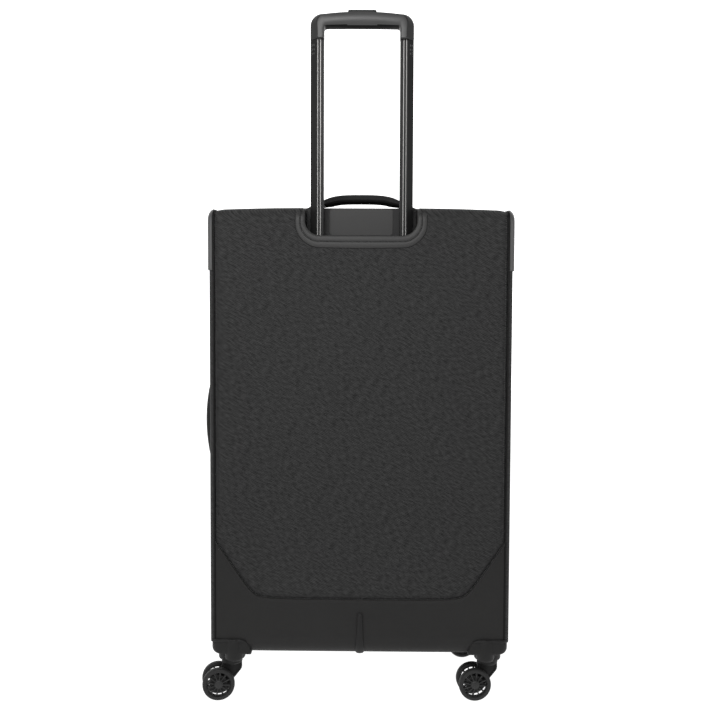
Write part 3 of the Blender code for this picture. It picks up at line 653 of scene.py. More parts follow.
def ring_of(sides):
    """Four sides joined into one closed outline."""
    return [point for side in sides for point in side[:-1]]


def filled(sides):
    """A grid of points across the area inside four sides."""
    bottom, right, top, left = sides
    top, left = top[::-1], left[::-1]
    rows = []
    for j in range(len(right)):
        v = j / (len(right) - 1)
        row = []
        for i in range(len(bottom)):
            u = i / (len(bottom) - 1)
            edges = bottom[i] * (1 - v) + top[i] * v + left[j] * (1 - u) + right[j] * u
            low_mix = (bottom[0] * (1 - u) + bottom[-1] * u) * (1 - v)
            high_mix = (top[0] * (1 - u) + top[-1] * u) * v
            row.append(edges - (low_mix + high_mix))
        rows.append(row)
    return rows


def flat_face(across, up):
    """No bulge on a pillow's face."""
    return 0.0


def pillow(bm, low, high, radii, counts, levels, place, bulge, open_left=False, skip=None):
    """A rounded form over a rounded rectangle: rings at (inset, depth) levels, then its face.

    bulge gives the face's extra depth at a share across and a share up.
    """
    loops = []
    for inset, depth in levels:
        shift = 0.0 if open_left else inset
        inner_low = (low[0] + shift, low[1] + inset)
        inner_high = (high[0] - inset, high[1] - inset)
        inner_radii = [max(radius - inset, 0.0006) if radius else 0.0 for radius in radii]
        sides = runs(inner_low, inner_high, inner_radii, counts)
        loops.append([[place(point.x, point.y, depth) for point in side] for side in sides])
    for index in range(3 if open_left else 4):
        quads(bm, [loop[index] for loop in loops], skip=skip)
    depth = levels[-1][1]
    rows = []
    for row in filled(sides):
        made = []
        for point in row:
            across = (point.x - inner_low[0]) / (inner_high[0] - inner_low[0])
            up = (point.y - inner_low[1]) / (inner_high[1] - inner_low[1])
            made.append(place(point.x, point.y, depth + bulge(across, up)))
        rows.append(made)
    quads(bm, rows, skip=skip)


def rolled(start, radius, steps=5):
    """Levels of a rounded edge: (inset, depth) from a depth on, through a quarter turn."""
    levels = []
    for angle in spread(0, pi / 2, steps):
        levels.append((radius * (1 - cos(angle)), start + radius * sin(angle)))
    return levels


# ------------------------------------------------------------------ places on the case's back

BACK_FLAT = TOP_Z - BOTTOM_Z - 2 * R_REAR
ARC = R_REAR * pi / 2


def profile(run):
    """Place (y, z) and outward direction along the case's back.

    The run is 0 where the top rounding starts. It grows upwards and over the top, and it is
    negative down the back and under the case.
    """
    if run < -BACK_FLAT:
        angle = min((-BACK_FLAT - run) / R_REAR, pi / 2)
        past = max(0.0, -BACK_FLAT - run - ARC)
        out = (cos(angle), -sin(angle))
        low = (REAR_Y - R_REAR - past, BOTTOM_Z + R_REAR)
        return (low[0] + R_REAR * out[0], low[1] + R_REAR * out[1]), out
    if run <= 0:
        return (REAR_Y, TOP_Z - R_REAR + run), (1.0, 0.0)
    angle = min(run / R_REAR, pi / 2)
    past = max(0.0, run - ARC)
    out = (cos(angle), sin(angle))
    return (REAR_Y - R_REAR - past + R_REAR * out[0], TOP_Z - R_REAR + R_REAR * out[1]), out


def outward(x, run):
    """The outward direction on the back, with the rounding at both side edges."""
    tilt = asin(min(1.0, max(0.0, abs(x) - HALF_W + R_SIDE) / R_SIDE))
    out = profile(run)[1]
    return Vector((sin(tilt) * (1 if x > 0 else -1), out[0] * cos(tilt), out[1] * cos(tilt)))


def on_back(x, run, out=0.0):
    """A point on the back, at x and a run along it, stood out by a distance."""
    tilt = asin(min(1.0, max(0.0, abs(x) - HALF_W + R_SIDE) / R_SIDE))
    (y, z), away = profile(run)
    inset = R_SIDE * (1 - cos(tilt))
    return Vector((x, y - away[0] * inset, z - away[1] * inset)) + outward(x, run) * out


def run_at(z):
    return z - (TOP_Z - R_REAR)


def run_on_top(y):
    return ARC + REAR_Y - R_REAR - y


def run_under(y):
    return -BACK_FLAT - ARC - (REAR_Y - R_REAR - y)


def seam_height(x):
    """The kick panel's seam: level across the middle and rising to both sides."""
    slope = (KICK_SIDE_Z - KICK_Z) / (SEAM_X - KICK_CORNER_X)
    past = abs(x) - KICK_CORNER_X
    return KICK_Z + slope * (past + sqrt(past * past + 0.012 ** 2)) / 2 + 0.005 * x


# ------------------------------------------------------------------ the recess and the bezel's outline

BEZEL_LOW, BEZEL_HIGH = box("handle_housing")
BEZEL_HALF = BEZEL_HIGH.x
BEZEL_R = 0.037
BEZEL_BOW = 0.0024  # how far its lower edge bows down at the middle
BEZEL_UP = 0.0016  # how far its lower corners are drawn up
TRAY_IN = 0.0005
RECESS_HALF = BEZEL_HALF - 0.015
RECESS_FLOOR_Z = BEZEL_LOW.z + 0.0193
RECESS_BACK_Y = BEZEL_LOW.y + 0.016
MOUTH_R = 0.023
RECESS_R = 0.008


def in_recess(point, margin=0.006):
    """Whether a point of the back cloth lies in the handle recess, or a margin around it."""
    across, up = RECESS_HALF + margin - abs(point.x), point.z - RECESS_FLOOR_Z + margin
    if across < 0 or up < 0 or point.y < RECESS_BACK_Y - margin:
        return False
    radius = MOUTH_R + margin
    if across < radius and up < radius:
        return (radius - across) ** 2 + (radius - up) ** 2 < radius ** 2
    return True


# ------------------------------------------------------------------ casters' places

CASTERS = ("rear_left", "rear_right", "front_left", "front_right")
JOINTS = {joint["name"]: joint for joint in frame["joints"]}
BUMPERS = {name: box("caster_housing_" + name) for name in CASTERS}


def under_bumper(point):
    """Whether a point of the cloth is well covered by a caster's housing."""
    for low, high in BUMPERS.values():
        inner = min(abs(low.x), abs(high.x))
        same_side = point.x * (low.x + high.x) > 0
        inside = inner + 0.016 < abs(point.x) and low.y + 0.004 < point.y < high.y
        if same_side and inside and point.z < high.z - 0.004:
            return True
    return False


# ------------------------------------------------------------------ the cloth of the case

NEAR_SEAM = (0.0, 0.001, 0.0024, 0.0045, 0.008, 0.0125)
TOP_FRONT_RUN = run_on_top(BAND_Y)


def gathers(distance, place):
    """Small gathers in the cloth beside a seam, which fade away from it."""
    wave = sin(2 * pi * place / 0.013 + 1.7 * sin(place / 0.041))
    return 0.00012 * wave * (1 - smooth(distance / 0.018))


def across_back():
    """The back's columns, closer together beside the side seams."""
    edge = SEAM_X - SEAM_GAP
    left = [-edge + step for step in NEAR_SEAM]
    return left + spread(left[-1] + 0.006, -left[-1] - 0.006, 64) + [-x for x in left[::-1]]


def back_cloth():
    """The twill over the back and the top, from the kick panel's seam to the zipper."""
    bm = bmesh.new()
    columns = []
    for x in across_back():
        seam = run_at(seam_height(x))
        start = seam - 0.0006
        rows = [start + step for step in NEAR_SEAM]
        rows += spread(rows[-1] + 0.006, -0.006, 90)
        rows += spread(-0.002, ARC + 0.004, 14)
        rows += spread(ARC + 0.01, TOP_FRONT_RUN, 14)
        column = []
        for row in rows:
            from_side = SEAM_X - abs(x)
            edge = min(from_side, row - start)
            swell = 0.001 * smooth(edge / 0.1)
            out = -0.0034 + 0.0039 * sqrt(smooth(edge / 0.015)) + swell + gathers(from_side, row)
            column.append(on_back(x, row, out))
        columns.append(column)
    quads(bm, columns, skip=in_recess)
    made = piece(
        "back_cloth", bm, "twill_fabric lining_fabric", "case", ["rear_top_panel"], True,
        CASE_CENTRE,
    )
    thicken(made, SKIN, 1)


def kick_cloth_panel():
    """The smooth panel along the foot of the back. Its folded top edge stands over the twill."""
    bm = bmesh.new()
    columns = []
    start = run_under(KICK_UNDER_Y)
    fold = ((-0.0004, -0.003), (-0.0003, -0.0004), (0.0001, 0.001), (0.0009, 0.0019), (0.0021, 0.0021),
            (0.0036, 0.0016), (0.0054, 0.0008), (0.0066, 0.0008), (0.009, 0.001), (0.015, 0.001))
    for x in across_back():
        seam = run_at(seam_height(x))
        from_side = SEAM_X - abs(x)
        sink = 0.0016 * (1 - sqrt(smooth(from_side / 0.014)))
        column = []
        for row in spread(start, -BACK_FLAT - ARC, 6)[:-1] + spread(-BACK_FLAT - ARC, -BACK_FLAT, 10):
            column.append(on_back(x, row, 0.0002 - sink))
        for row in spread(-BACK_FLAT + 0.004, seam - 0.02, 14):
            column.append(on_back(x, row, 0.001 - sink))
        for below, out in fold[::-1]:
            column.append(on_back(x, seam - below, out - sink))
        columns.append(column)
    quads(bm, columns, skip=under_bumper)
    made = piece(
        "kick_cloth", bm, "smooth_fabric lining_fabric", "case", ["kick_panel"],
        inside=CASE_CENTRE, sag=True,
    )
    thicken(made, 0.002, 1)
    path = []
    for x in spread(-SEAM_X + 0.006, SEAM_X - 0.006, 90):
        path.append(on_back(x, run_at(seam_height(x)) - 0.006, 0.0004))
    stitching("kick_stitching", [(path, Vector((0, 1, 0)))], "case", pitch=0.0034)


def seam_path(side, x=SEAM_X, first=None, last=None, out=0.0):
    """Points and outward directions along a side seam, from under the case round to the top's front."""
    first = run_under(BAND_Y) if first is None else first
    last = TOP_FRONT_RUN if last is None else last
    corners = (-BACK_FLAT - ARC, -BACK_FLAT, 0.0, ARC)
    steps = (12, 10, 90, 10, 12)
    stops = [first] + [stop for stop in corners if first < stop < last] + [last]
    places = []
    for one, two in zip(stops, stops[1:]):
        index = sum(1 for stop in corners if stop <= one + 0.0001)
        places += spread(one, two, steps[index])[:-1]
    places.append(last)
    return [on_back(side * x, run, out) for run in places], [outward(side * x, run) for run in places]


def side_seam(name, side):
    """The piped seam between the back and a side: a dark cord in a sunk joint, and its stitches."""
    path, ups = seam_path(side, out=-0.0006)
    swept(f"piping_{name}", path, ups, circle(0.0016, 8), "piping", "case", False, True)
    first = run_at(seam_height(SEAM_X)) + 0.004
    line = seam_path(side, SEAM_X - 0.0045, first, TOP_FRONT_RUN, 0.0002)
    stitching(f"seam_stitching_{name}", [line], "case", True)


FIRST_TILT = asin((SEAM_X + SEAM_GAP - HALF_W + R_SIDE) / R_SIDE)


def side_sheet(bm, side, grow=0.0, bulge=0.0, counts=(22, 60), skip=None):
    """A side of the case from its seam on the back, round the edge and over the whole side."""
    radius = R_SIDE + grow
    levels = []
    for angle in spread(FIRST_TILT, pi / 2, 7):
        levels.append((radius * (1 - cos(angle)), HALF_W - R_SIDE + radius * sin(angle)))

    def put(a, b, depth):
        return Vector((side * depth, a, b))

    def swell(across, up):
        return bulge * (1 - (2 * across - 1) ** 4) * (1 - (2 * up - 1) ** 10)

    low, high = (BAND_Y, BOTTOM_Z - grow), (REAR_Y + grow, TOP_Z + grow)
    radii = (0, R_REAR + grow, R_REAR + grow, 0)
    pillow(bm, low, high, radii, counts, levels, put, swell, open_left=True, skip=skip)


def side_cloth(name, side):
    bm = bmesh.new()
    side_sheet(bm, side, bulge=0.0022, skip=under_bumper)
    made = piece(
        f"side_cloth_{name}", bm, "twill_fabric lining_fabric", "case",
        [f"side_panel_{name}"], True, CASE_CENTRE,
    )
    thicken(made, SKIN, 1)
    edge = side * (HALF_W + 0.0001)
    lines = []
    for y in (BAND_Y + 0.004, BAND_Y + 0.0065):
        path = [Vector((edge, y, z)) for z in spread(BOTTOM_Z + 0.03, TOP_Z - 0.014, 30)]
        lines.append((path, Vector((side, 0, 0))))
    stitching(f"edge_stitching_{name}", lines, "case", True)


def sliced(bm, at, away):
    """Cut off what lies beyond a plane."""
    every = list(bm.verts) + list(bm.edges) + list(bm.faces)
    bmesh.ops.bisect_plane(bm, geom=every, dist=0.00001, plane_co=at, plane_no=away, clear_outer=True)


def corner_guard(name, side):
    """The smooth guard over a top rear corner."""
    low = box(f"corner_guard_{name}")[0]
    bm = bmesh.new()
    side_sheet(bm, side, grow=0.0024, bulge=0.0008, counts=(60, 110))
    sliced(bm, (0, 0, low.z), (0, 0, -1))
    sliced(bm, (0, low.y, 0), (0, -1, 0))
    radius = 0.014
    for angle in spread(0, pi / 2, 6)[1:-1]:
        away = Vector((0, -cos(angle), -sin(angle)))
        at = Vector((0, low.y + radius, low.z + radius)) + away * radius
        sliced(bm, at, away)
    made = piece(
        f"corner_guard_trim_{name}", bm, "guard_plastic", "case",
        [f"corner_guard_{name}"], True, CASE_CENTRE,
    )
    thicken(made, 0.003)
    soften(made, 0.0009, 3)
    places = [(low.y + 0.006, z) for z in spread(TOP_Z - 0.016, low.z + radius, 10)]
    places += [
        (low.y + radius - 0.008 * cos(angle), low.z + radius - 0.008 * sin(angle))
        for angle in spread(0, pi / 2, 5)
    ]
    places += [(y, low.z + 0.006) for y in spread(low.y + radius + 0.004, REAR_Y - 0.012, 12)]
    path = [Vector((side * (HALF_W + 0.0031), y, z)) for y, z in places]
    line = (path, Vector((side, 0, 0)))
    stitching(f"guard_stitching_{name}", [line], "case", True, pitch=0.004)


# ------------------------------------------------------------------ trim on the back


def runner(name, finish, narrow, wide, height, top_z, shape, stands_for=()):
    """A tapered runner down the middle of the kick panel and under the case.

    narrow and wide are its half widths at the top and at the case's foot; shape holds its
    section as (share across, share of the height).
    """
    bm = bmesh.new()
    top, foot, end = run_at(top_z), run_at(BOTTOM_Z), run_under(KICK_UNDER_Y + 0.005)
    dome = narrow * 1.5
    places = [top - dome * (1 - cos(angle)) for angle in spread(0.12, pi / 2, 8)]
    places += spread(top - dome, foot, 14)[1:] + spread(foot, end, 16)[1:]
    rows = []
    for run in places:
        share = min(1.0, (top - run) / (top - foot))
        half = narrow + (wide - narrow) * share
        past = 1 - min(1.0, (top - run) / dome)
        half *= sqrt(max(0.0, 1 - past * past))
        rise = height * sqrt(smooth((top - run) / dome)) * smooth((run - end) / 0.006 + 0.3)
        rows.append([on_back(a * half, run, b * rise - 0.0008) for a, b in shape])
    loft(bm, rows)
    piece(name, bm, finish, stands_for=stands_for)


def skid():
    """The skid rib: a ridge in a dark sunk bed."""
    top_z = box("skid_rib")[1].z
    bed = ((-1, 0), (-0.97, 1), (-0.7, 1.1), (0.7, 1.1), (0.97, 1), (1, 0))
    runner("skid_bed", "dark_plastic", 0.007, 0.0104, 0.0012, top_z + 0.003, bed)
    ridge = ((-1, 0), (-0.98, 0.35), (-0.88, 0.68), (-0.66, 0.88), (-0.34, 0.97), (0, 1.0),
             (0.34, 0.97), (0.66, 0.88), (0.88, 0.68), (0.98, 0.35), (1, 0))
    runner("skid_ridge", "moulded_plastic", 0.0042, 0.0072, 0.0062, top_z, ridge, ["skid_rib"])


def bezel():
    """The frame of the handle recess, over the back and the top edge."""
    outer = runs(
        (-BEZEL_HALF, run_at(BEZEL_LOW.z)), (BEZEL_HALF, run_on_top(BEZEL_LOW.y)),
        (BEZEL_R, BEZEL_R, 0.012, 0.012), (40, 30), 12,
    )
    inner = runs(
        (-RECESS_HALF, run_at(RECESS_FLOOR_Z)), (RECESS_HALF, run_on_top(RECESS_BACK_Y)),
        (MOUTH_R, MOUTH_R, 0.004, 0.004), (40, 30), 12,
    )
    outer, inner = ring_of(outer), ring_of(inner)
    section = (
        (0.0, -0.002), (0.0, 0.0008), (0.02, 0.0015), (0.07, 0.0021), (0.16, 0.0025), (0.3, 0.0026),
        (0.4, 0.0025), (0.455, 0.0021), (0.475, 0.001), (0.515, 0.001), (0.54, 0.0016), (0.62, 0.0019),
        (0.8, 0.0018), (0.92, 0.0012), (0.98, 0.0003), (1.0, -0.0008), (1.0, -0.0062),
    )
    rows = []
    for share, out in section:
        row = []
        for one, two in zip(outer, inner):
            point = one.lerp(two, share)
            low = 1 - smooth((one.y - run_at(BEZEL_LOW.z)) / 0.04)
            bow = (BEZEL_UP - BEZEL_BOW * (1 - (point.x / BEZEL_HALF) ** 2)) * low * (1 - share)
            over = smooth((point.y - run_at(TOP_Z - 0.016)) / 0.014)
            row.append(on_back(point.x, point.y + bow, out * (1 - 0.4 * over) - 0.0003 * over))
        rows.append(row)
    bm = bmesh.new()
    quads(bm, rows, closed=True)
    piece(
        "handle_bezel", bm, "bezel_plastic", "case", ["handle_housing"], True,
        Vector((0, 0.1, 0.7)), 50,
    )
    # A thin dark cord round the bezel's outer edge: painted shadow, for the dark line under the bezel's
    # edge.
    ups = [outward(point.x, point.y) for point in outer]
    swept("bezel_painted_shadow_line", rows[1], ups, circle(0.001, 6), "piping", "case", crown=True)


def recess_tray():
    """The inside of the handle recess: floor, sides, back wall and the collars of the tubes."""
    bm = bmesh.new()
    mouth_y = REAR_Y - 0.006
    quarter = []
    centre_x, centre_z = -RECESS_HALF + RECESS_R + TRAY_IN, RECESS_FLOOR_Z + RECESS_R + TRAY_IN
    for angle in spread(pi, 1.5 * pi, 6):
        quarter.append((centre_x + RECESS_R * cos(angle), centre_z + RECESS_R * sin(angle)))
    section = quarter + [(-x, z) for x, z in quarter[::-1]]
    back_y = RECESS_BACK_Y + TRAY_IN
    depths = spread(mouth_y, back_y, 8)
    quads(bm, [[Vector((x, y, z)) for x, z in section] for y in depths])
    top_z = TOP_Z + 0.001
    opening = [on_back(0, run, -0.0035) for run in spread(run_at(section[0][1]), run_on_top(back_y), 16)]
    # The side walls and the back wall of the recess get the dark plastic, as painted shade for the light
    # that hardly reaches them beside the tubes.
    for side in (-1, 1):
        wall_x = side * (RECESS_HALF - TRAY_IN)
        wall = [Vector((wall_x, mouth_y, section[0][1]))]
        wall += [Vector((wall_x, point.y, point.z)) for point in opening[1:]]
        wall.append(Vector((wall_x, back_y, section[0][1])))
        bm.faces.new([bm.verts.new(point) for point in wall]).material_index = 1
    wall_x = RECESS_HALF - TRAY_IN
    back = section + [(wall_x, top_z), (-wall_x, top_z)]
    bm.faces.new([bm.verts.new((x, back_y, z)) for x, z in back]).material_index = 1
    piece("recess_tray", bm, "recess_plastic dark_plastic", crown=True, inside=Vector((0, 0.13, 0.9)))
    bm = bmesh.new()
    panel_half = 0.0515
    panel_low, panel_high = (-panel_half, RECESS_FLOOR_Z + 0.002), (panel_half, top_z - 0.0002)
    levels = [(0.0, -0.0003), (0.0006, 0.0004), (0.0018, 0.0007)]

    def put(a, b, depth):
        return Vector((a, back_y + depth, b))

    pillow(
        bm, panel_low, panel_high, (0.006,) * 4, (16, 8), levels, put,
        lambda across, up: 0.0003 * (1 - (2 * across - 1) ** 2),
    )
    piece("recess_panel", bm, "recess_plastic", crown=True, inside=Vector((0, 0, 0.77)))
    collar = (
        (0.0004, -0.001), (0.0004, 0.0008), (0.0011, 0.0012), (0.0028, 0.001), (0.0036, -0.001),
    )
    for name, side in SIDES:
        bm = bmesh.new()
        outline = tube_section(side)
        rows = []
        for grow, lift in collar:
            rows.append([Vector((x, y, RECESS_FLOOR_Z + lift)) for x, y in grown(outline, grow)])
        quads(bm, rows, closed=True)
        piece(f"tube_collar_{name}", bm, "moulded_plastic")


# ------------------------------------------------------------------ telescopic handle

SIDES = (("left", -1), ("right", 1))
TUBE_LOW, TUBE_HIGH = box("inner_tube_right")
TUBE_X = (TUBE_LOW.x + TUBE_HIGH.x) / 2 + 0.0002
TUBE_Y = (TUBE_LOW.y + TUBE_HIGH.y) / 2
TUBE_HALF_W = (TUBE_HIGH.x - TUBE_LOW.x) / 2 + 0.0006
TUBE_HALF_D = (TUBE_HIGH.y - TUBE_LOW.y) / 2
FLAT_EDGE = 0.0012  # where the tube's flat rear face turns into its slanted outer face


def tube_section(side):
    """The tube's plain outline: a flat rear face and a slanted outer face."""
    outline = rounded([
        (-TUBE_HALF_W, -TUBE_HALF_D, 0.0015), (TUBE_HALF_W, -TUBE_HALF_D, 0.0015),
        (TUBE_HALF_W, -0.001, 0.001), (FLAT_EDGE, TUBE_HALF_D, 0.001), (-TUBE_HALF_W, TUBE_HALF_D, 0.0015),
    ], steps=3)
    return [(side * (TUBE_X + a), TUBE_Y + b) for a, b in outline]


def sliding_tube(name, side):
    """A sliding tube: black, with a channel between two polished ridges on its rear face."""
    flat = TUBE_HALF_D
    ridges = [
        (0.0006, flat - 0.0004), (-0.0002, flat - 0.0004), (-0.0005, flat), (-0.0015, flat),
        (-0.0018, flat - 0.0012), (-0.0043, flat - 0.0012), (-0.0046, flat), (-0.0059, flat),
        (-0.0062, flat - 0.0004), (-TUBE_HALF_W + 0.0004, flat - 0.0004), (-TUBE_HALF_W, flat - 0.0014),
    ]
    corner = rounded([
        (-TUBE_HALF_W, 0, 0), (-TUBE_HALF_W, -TUBE_HALF_D, 0.0015), (TUBE_HALF_W, -TUBE_HALF_D, 0.0015),
        (TUBE_HALF_W, -0.001, 0.001), (FLAT_EDGE, flat - 0.0002, 0),
    ], steps=3)
    section = corner[1:] + ridges
    bm = bmesh.new()
    rows = []
    for z in spread(TUBE_LOW.z, TUBE_HIGH.z, 4):
        rows.append([Vector((side * (TUBE_X + a), TUBE_Y + b, z)) for a, b in section])
    loft(bm, rows)
    for face in bm.faces:
        middle = face.calc_center_median()
        across, back = abs(middle.x) - TUBE_X, middle.y - TUBE_Y
        if back > flat - 0.0001 and (-0.0016 < across < -0.0004 or -0.006 < across < -0.0045):
            face.material_index = 1
    piece(
        f"sliding_tube_{name}", bm, "black_aluminium bright_aluminium", "handle",
        [f"inner_tube_{name}"], sharp=28,
    )
    bm = bmesh.new()
    slope = Vector((TUBE_HALF_W - FLAT_EDGE, -0.001 - flat))
    out = Vector((-slope.y, slope.x)).normalized()
    for step in range(3):
        z = GRIP_LOW.z - 0.009 - 0.0065 * step
        for share in (0.42, 0.72):
            at = Vector((FLAT_EDGE, flat)) + slope * share - out * 0.0004
            place = Vector((side * (TUBE_X + at.x), TUBE_Y + at.y, z))
            up = Vector((side * out.x, out.y, 0))
            lozenge(bm, place, Vector((0, 0, 1)), up, 0.0042, 0.002, 0.0009)
    piece(f"clip_marks_{name}", bm, "grip_plastic", "handle")


GRIP_LOW, GRIP_HIGH = box("grip")
GRIP_HALF = GRIP_HIGH.x
GRIP_Y = (GRIP_LOW.y + GRIP_HIGH.y) / 2
GRIP_DEEP = (GRIP_HIGH.y - GRIP_LOW.y) / 2
GRIP_R = 0.019
GRIP_CROWN = 0.0032
LEG_X = 0.0588
UNDER_SIDE_Z = GRIP_LOW.z + 0.018
UNDER_DROP = 0.0022


def grip_stations():
    """Along the right half of the grip's arch, from the leg's end to the middle.

    Each is the outer point, the inner point, the slant's width on the outer side, its width on the
    inner side, and the swell of the face between them, seen from behind.
    """
    inner_r = 0.004
    corner_z = GRIP_HIGH.z - GRIP_CROWN - GRIP_R
    inner_z = UNDER_SIDE_Z - inner_r
    stations = []
    for share in spread(0, 1, 5)[:-1]:
        outer = Vector((GRIP_HALF, GRIP_LOW.z + (corner_z - GRIP_LOW.z) * share))
        inner = Vector((LEG_X, GRIP_LOW.z + (inner_z - GRIP_LOW.z) * share))
        stations.append((outer, inner, 0.011, 0.0012, 0.0004))
    for share in spread(0, 1, 12):
        angle = share * pi / 2
        outer = Vector((GRIP_HALF - GRIP_R + GRIP_R * cos(angle), corner_z + GRIP_R * sin(angle)))
        inner = Vector((LEG_X - inner_r + inner_r * cos(angle), inner_z + inner_r * sin(angle)))
        stations.append((outer, inner, 0.011 - 0.0065 * smooth(share), 0.0012, 0.0004 + 0.0018 * share))
    outer_x, inner_x = GRIP_HALF - GRIP_R, LEG_X - inner_r
    for share in spread(1, 0, 12)[1:]:
        outer = Vector((outer_x * share, GRIP_HIGH.z - GRIP_CROWN * share * share))
        inner = Vector((inner_x * share, UNDER_SIDE_Z - UNDER_DROP * (1 - share * share)))
        middle = 1 - share * share
        widths = (0.0045 - 0.001 * middle, 0.0012 + 0.0036 * middle, 0.0022 + 0.001 * middle)
        stations.append((outer, inner, *widths))
    return stations


def grip_bar():
    """The grip: a soft arch, slanted on its outer side as the tubes are."""
    half = grip_stations()
    whole = half + [
        (Vector((-outer.x, outer.y)), Vector((-inner.x, inner.y)), *widths)
        for outer, inner, *widths in half[-2::-1]
    ]
    sections = []
    for outer, inner, slant, under, swell in whole:
        width = (outer - inner).length
        deep = GRIP_DEEP
        loop = [
            (0.0035 * under / 0.0048, -deep + 0.0055), (under * 0.25, 0.0), (under * 0.12, 0.0055),
            (under * 0.3, deep - 0.004), (under * 0.72, deep - 0.0018), (under, deep - 0.0006),
        ]
        left = width - slant
        for share in (0.12, 0.3, 0.5, 0.7, 0.88):
            across = under + (left - under) * share
            loop.append((across, deep + swell * (1 - (2 * share - 1) ** 2)))
        loop += [
            (left, deep - 0.0004), (left + slant * 0.14, deep - 0.0018),
            (width - slant * 0.1, 0.0022), (width, 0.0008), (width, -deep + 0.0045),
            (width - 0.0012, -deep + 0.0014), (width - 0.0042, -deep), (0.0072, -deep),
            (0.0046, -deep + 0.0016),
        ]
        away = (outer - inner) / width
        sections.append([
            Vector((inner.x + away.x * a, GRIP_Y + b, inner.y + away.y * a)) for a, b in loop
        ])
    bm = bmesh.new()
    loft(bm, sections)
    bmesh.ops.recalc_face_normals(bm, faces=bm.faces)
    # Faces under the arch get the dark under-side cloth: painted shade for the shadow under the grip.
    for face in bm.faces:
        middle, facing = face.calc_center_median(), face.normal
        slanted = abs(middle.x) > LEG_X and facing.x * middle.x > 0 and abs(facing.x) > 0.3
        under = facing.z < -0.72 and abs(middle.x) < LEG_X - 0.001
        face.material_index = 2 if under else int(slanted)
    made = piece(
        "grip_arch", bm, "grip_plastic grip_side_plastic under_webbing", "handle", ["grip"],
        sharp=60,
    )
    soften(made, 0.0008, 2, 60)


def release_button():
    """The button in the grip's top: a ribbed bar in a dark slot."""
    low, high = box("grip_button")
    half_w, half_d = high.x + 0.003, (high.y - low.y) / 2
    middle_y = (high.y + low.y) / 2

    def put(a, b, depth):
        return Vector((a, middle_y + b, depth))

    bm = bmesh.new()
    base = high.z - 0.012
    levels = [(0.0, base), (0.0, high.z - 0.0016), (0.0004, high.z - 0.0006), (0.0014, high.z)]
    pillow(
        bm, (-half_w, -half_d), (half_w, half_d), (0.004,) * 4, (24, 8), levels, put,
        lambda across, up: -0.0004 * (1 - (2 * up - 1) ** 2),
    )
    for step in range(-4, 5):
        path = [put(0.003 * step, b, high.z - 0.0001) for b in spread(-half_d + 0.002, half_d - 0.002, 4)]
        sweep(bm, path, Vector((0, 0, 1)), circle(0.0005, 6))
    piece("release_bar", bm, "moulded_plastic", "release", ["grip_button"])
    # Bright metal marks at both ends of the button: painted highlights, standing in for glints there.
    bm = bmesh.new()
    for side in (-1, 1):
        at = put(side * (half_w - 0.0036), half_d - 0.0001, high.z - 0.0024)
        lozenge(bm, at, Vector((0, 0, 1)), Vector((0, 1, 0)), 0.003, 0.0016, 0.0004)
    piece("release_painted_glints", bm, "bright_aluminium", "release")
    bm = bmesh.new()
    top = GRIP_HIGH.z + 0.0007

    def rim(out, radius):
        a, b = half_w + out, half_d + out
        return [put(*point, top) for point in ring_of(runs((-a, -b), (a, b), (radius,) * 4, (8, 4)))]

    outer, inner = rim(0.0022, 0.005), rim(0.0003, 0.004)
    drop = Vector((0, 0, -0.004))
    rings = [[point + drop for point in outer], outer, inner, [point + drop for point in inner]]
    quads(bm, rings, closed=True)
    piece("button_frame", bm, "dark_plastic", "handle")


# ------------------------------------------------------------------ carry handles

HANDLE_Y = sum(corner.y for corner in box("top_handle_strap")) / 2
HANDLE_HALF_D = 0.015
SIDE_Z = sum(corner.z for corner in box("side_handle_strap")) / 2
CAP_LENGTH = 0.026
TOP_STRAP = {"rise": 0.0324, "square": 0.27, "fourth": 566.0, "reach": 0.081, "cap": 0.072, "thick": 0.0155}
SIDE_STRAP = {"rise": 0.0237, "square": 1.75, "fourth": 0.0, "reach": 0.09, "cap": 0.078, "thick": 0.012}


def over_top(along_x, depth, out):
    return Vector((along_x, HANDLE_Y + depth, TOP_Z + out))


def over_side(along_z, depth, out):
    return Vector((HALF_W + out, HANDLE_Y + depth, SIDE_Z + along_z))


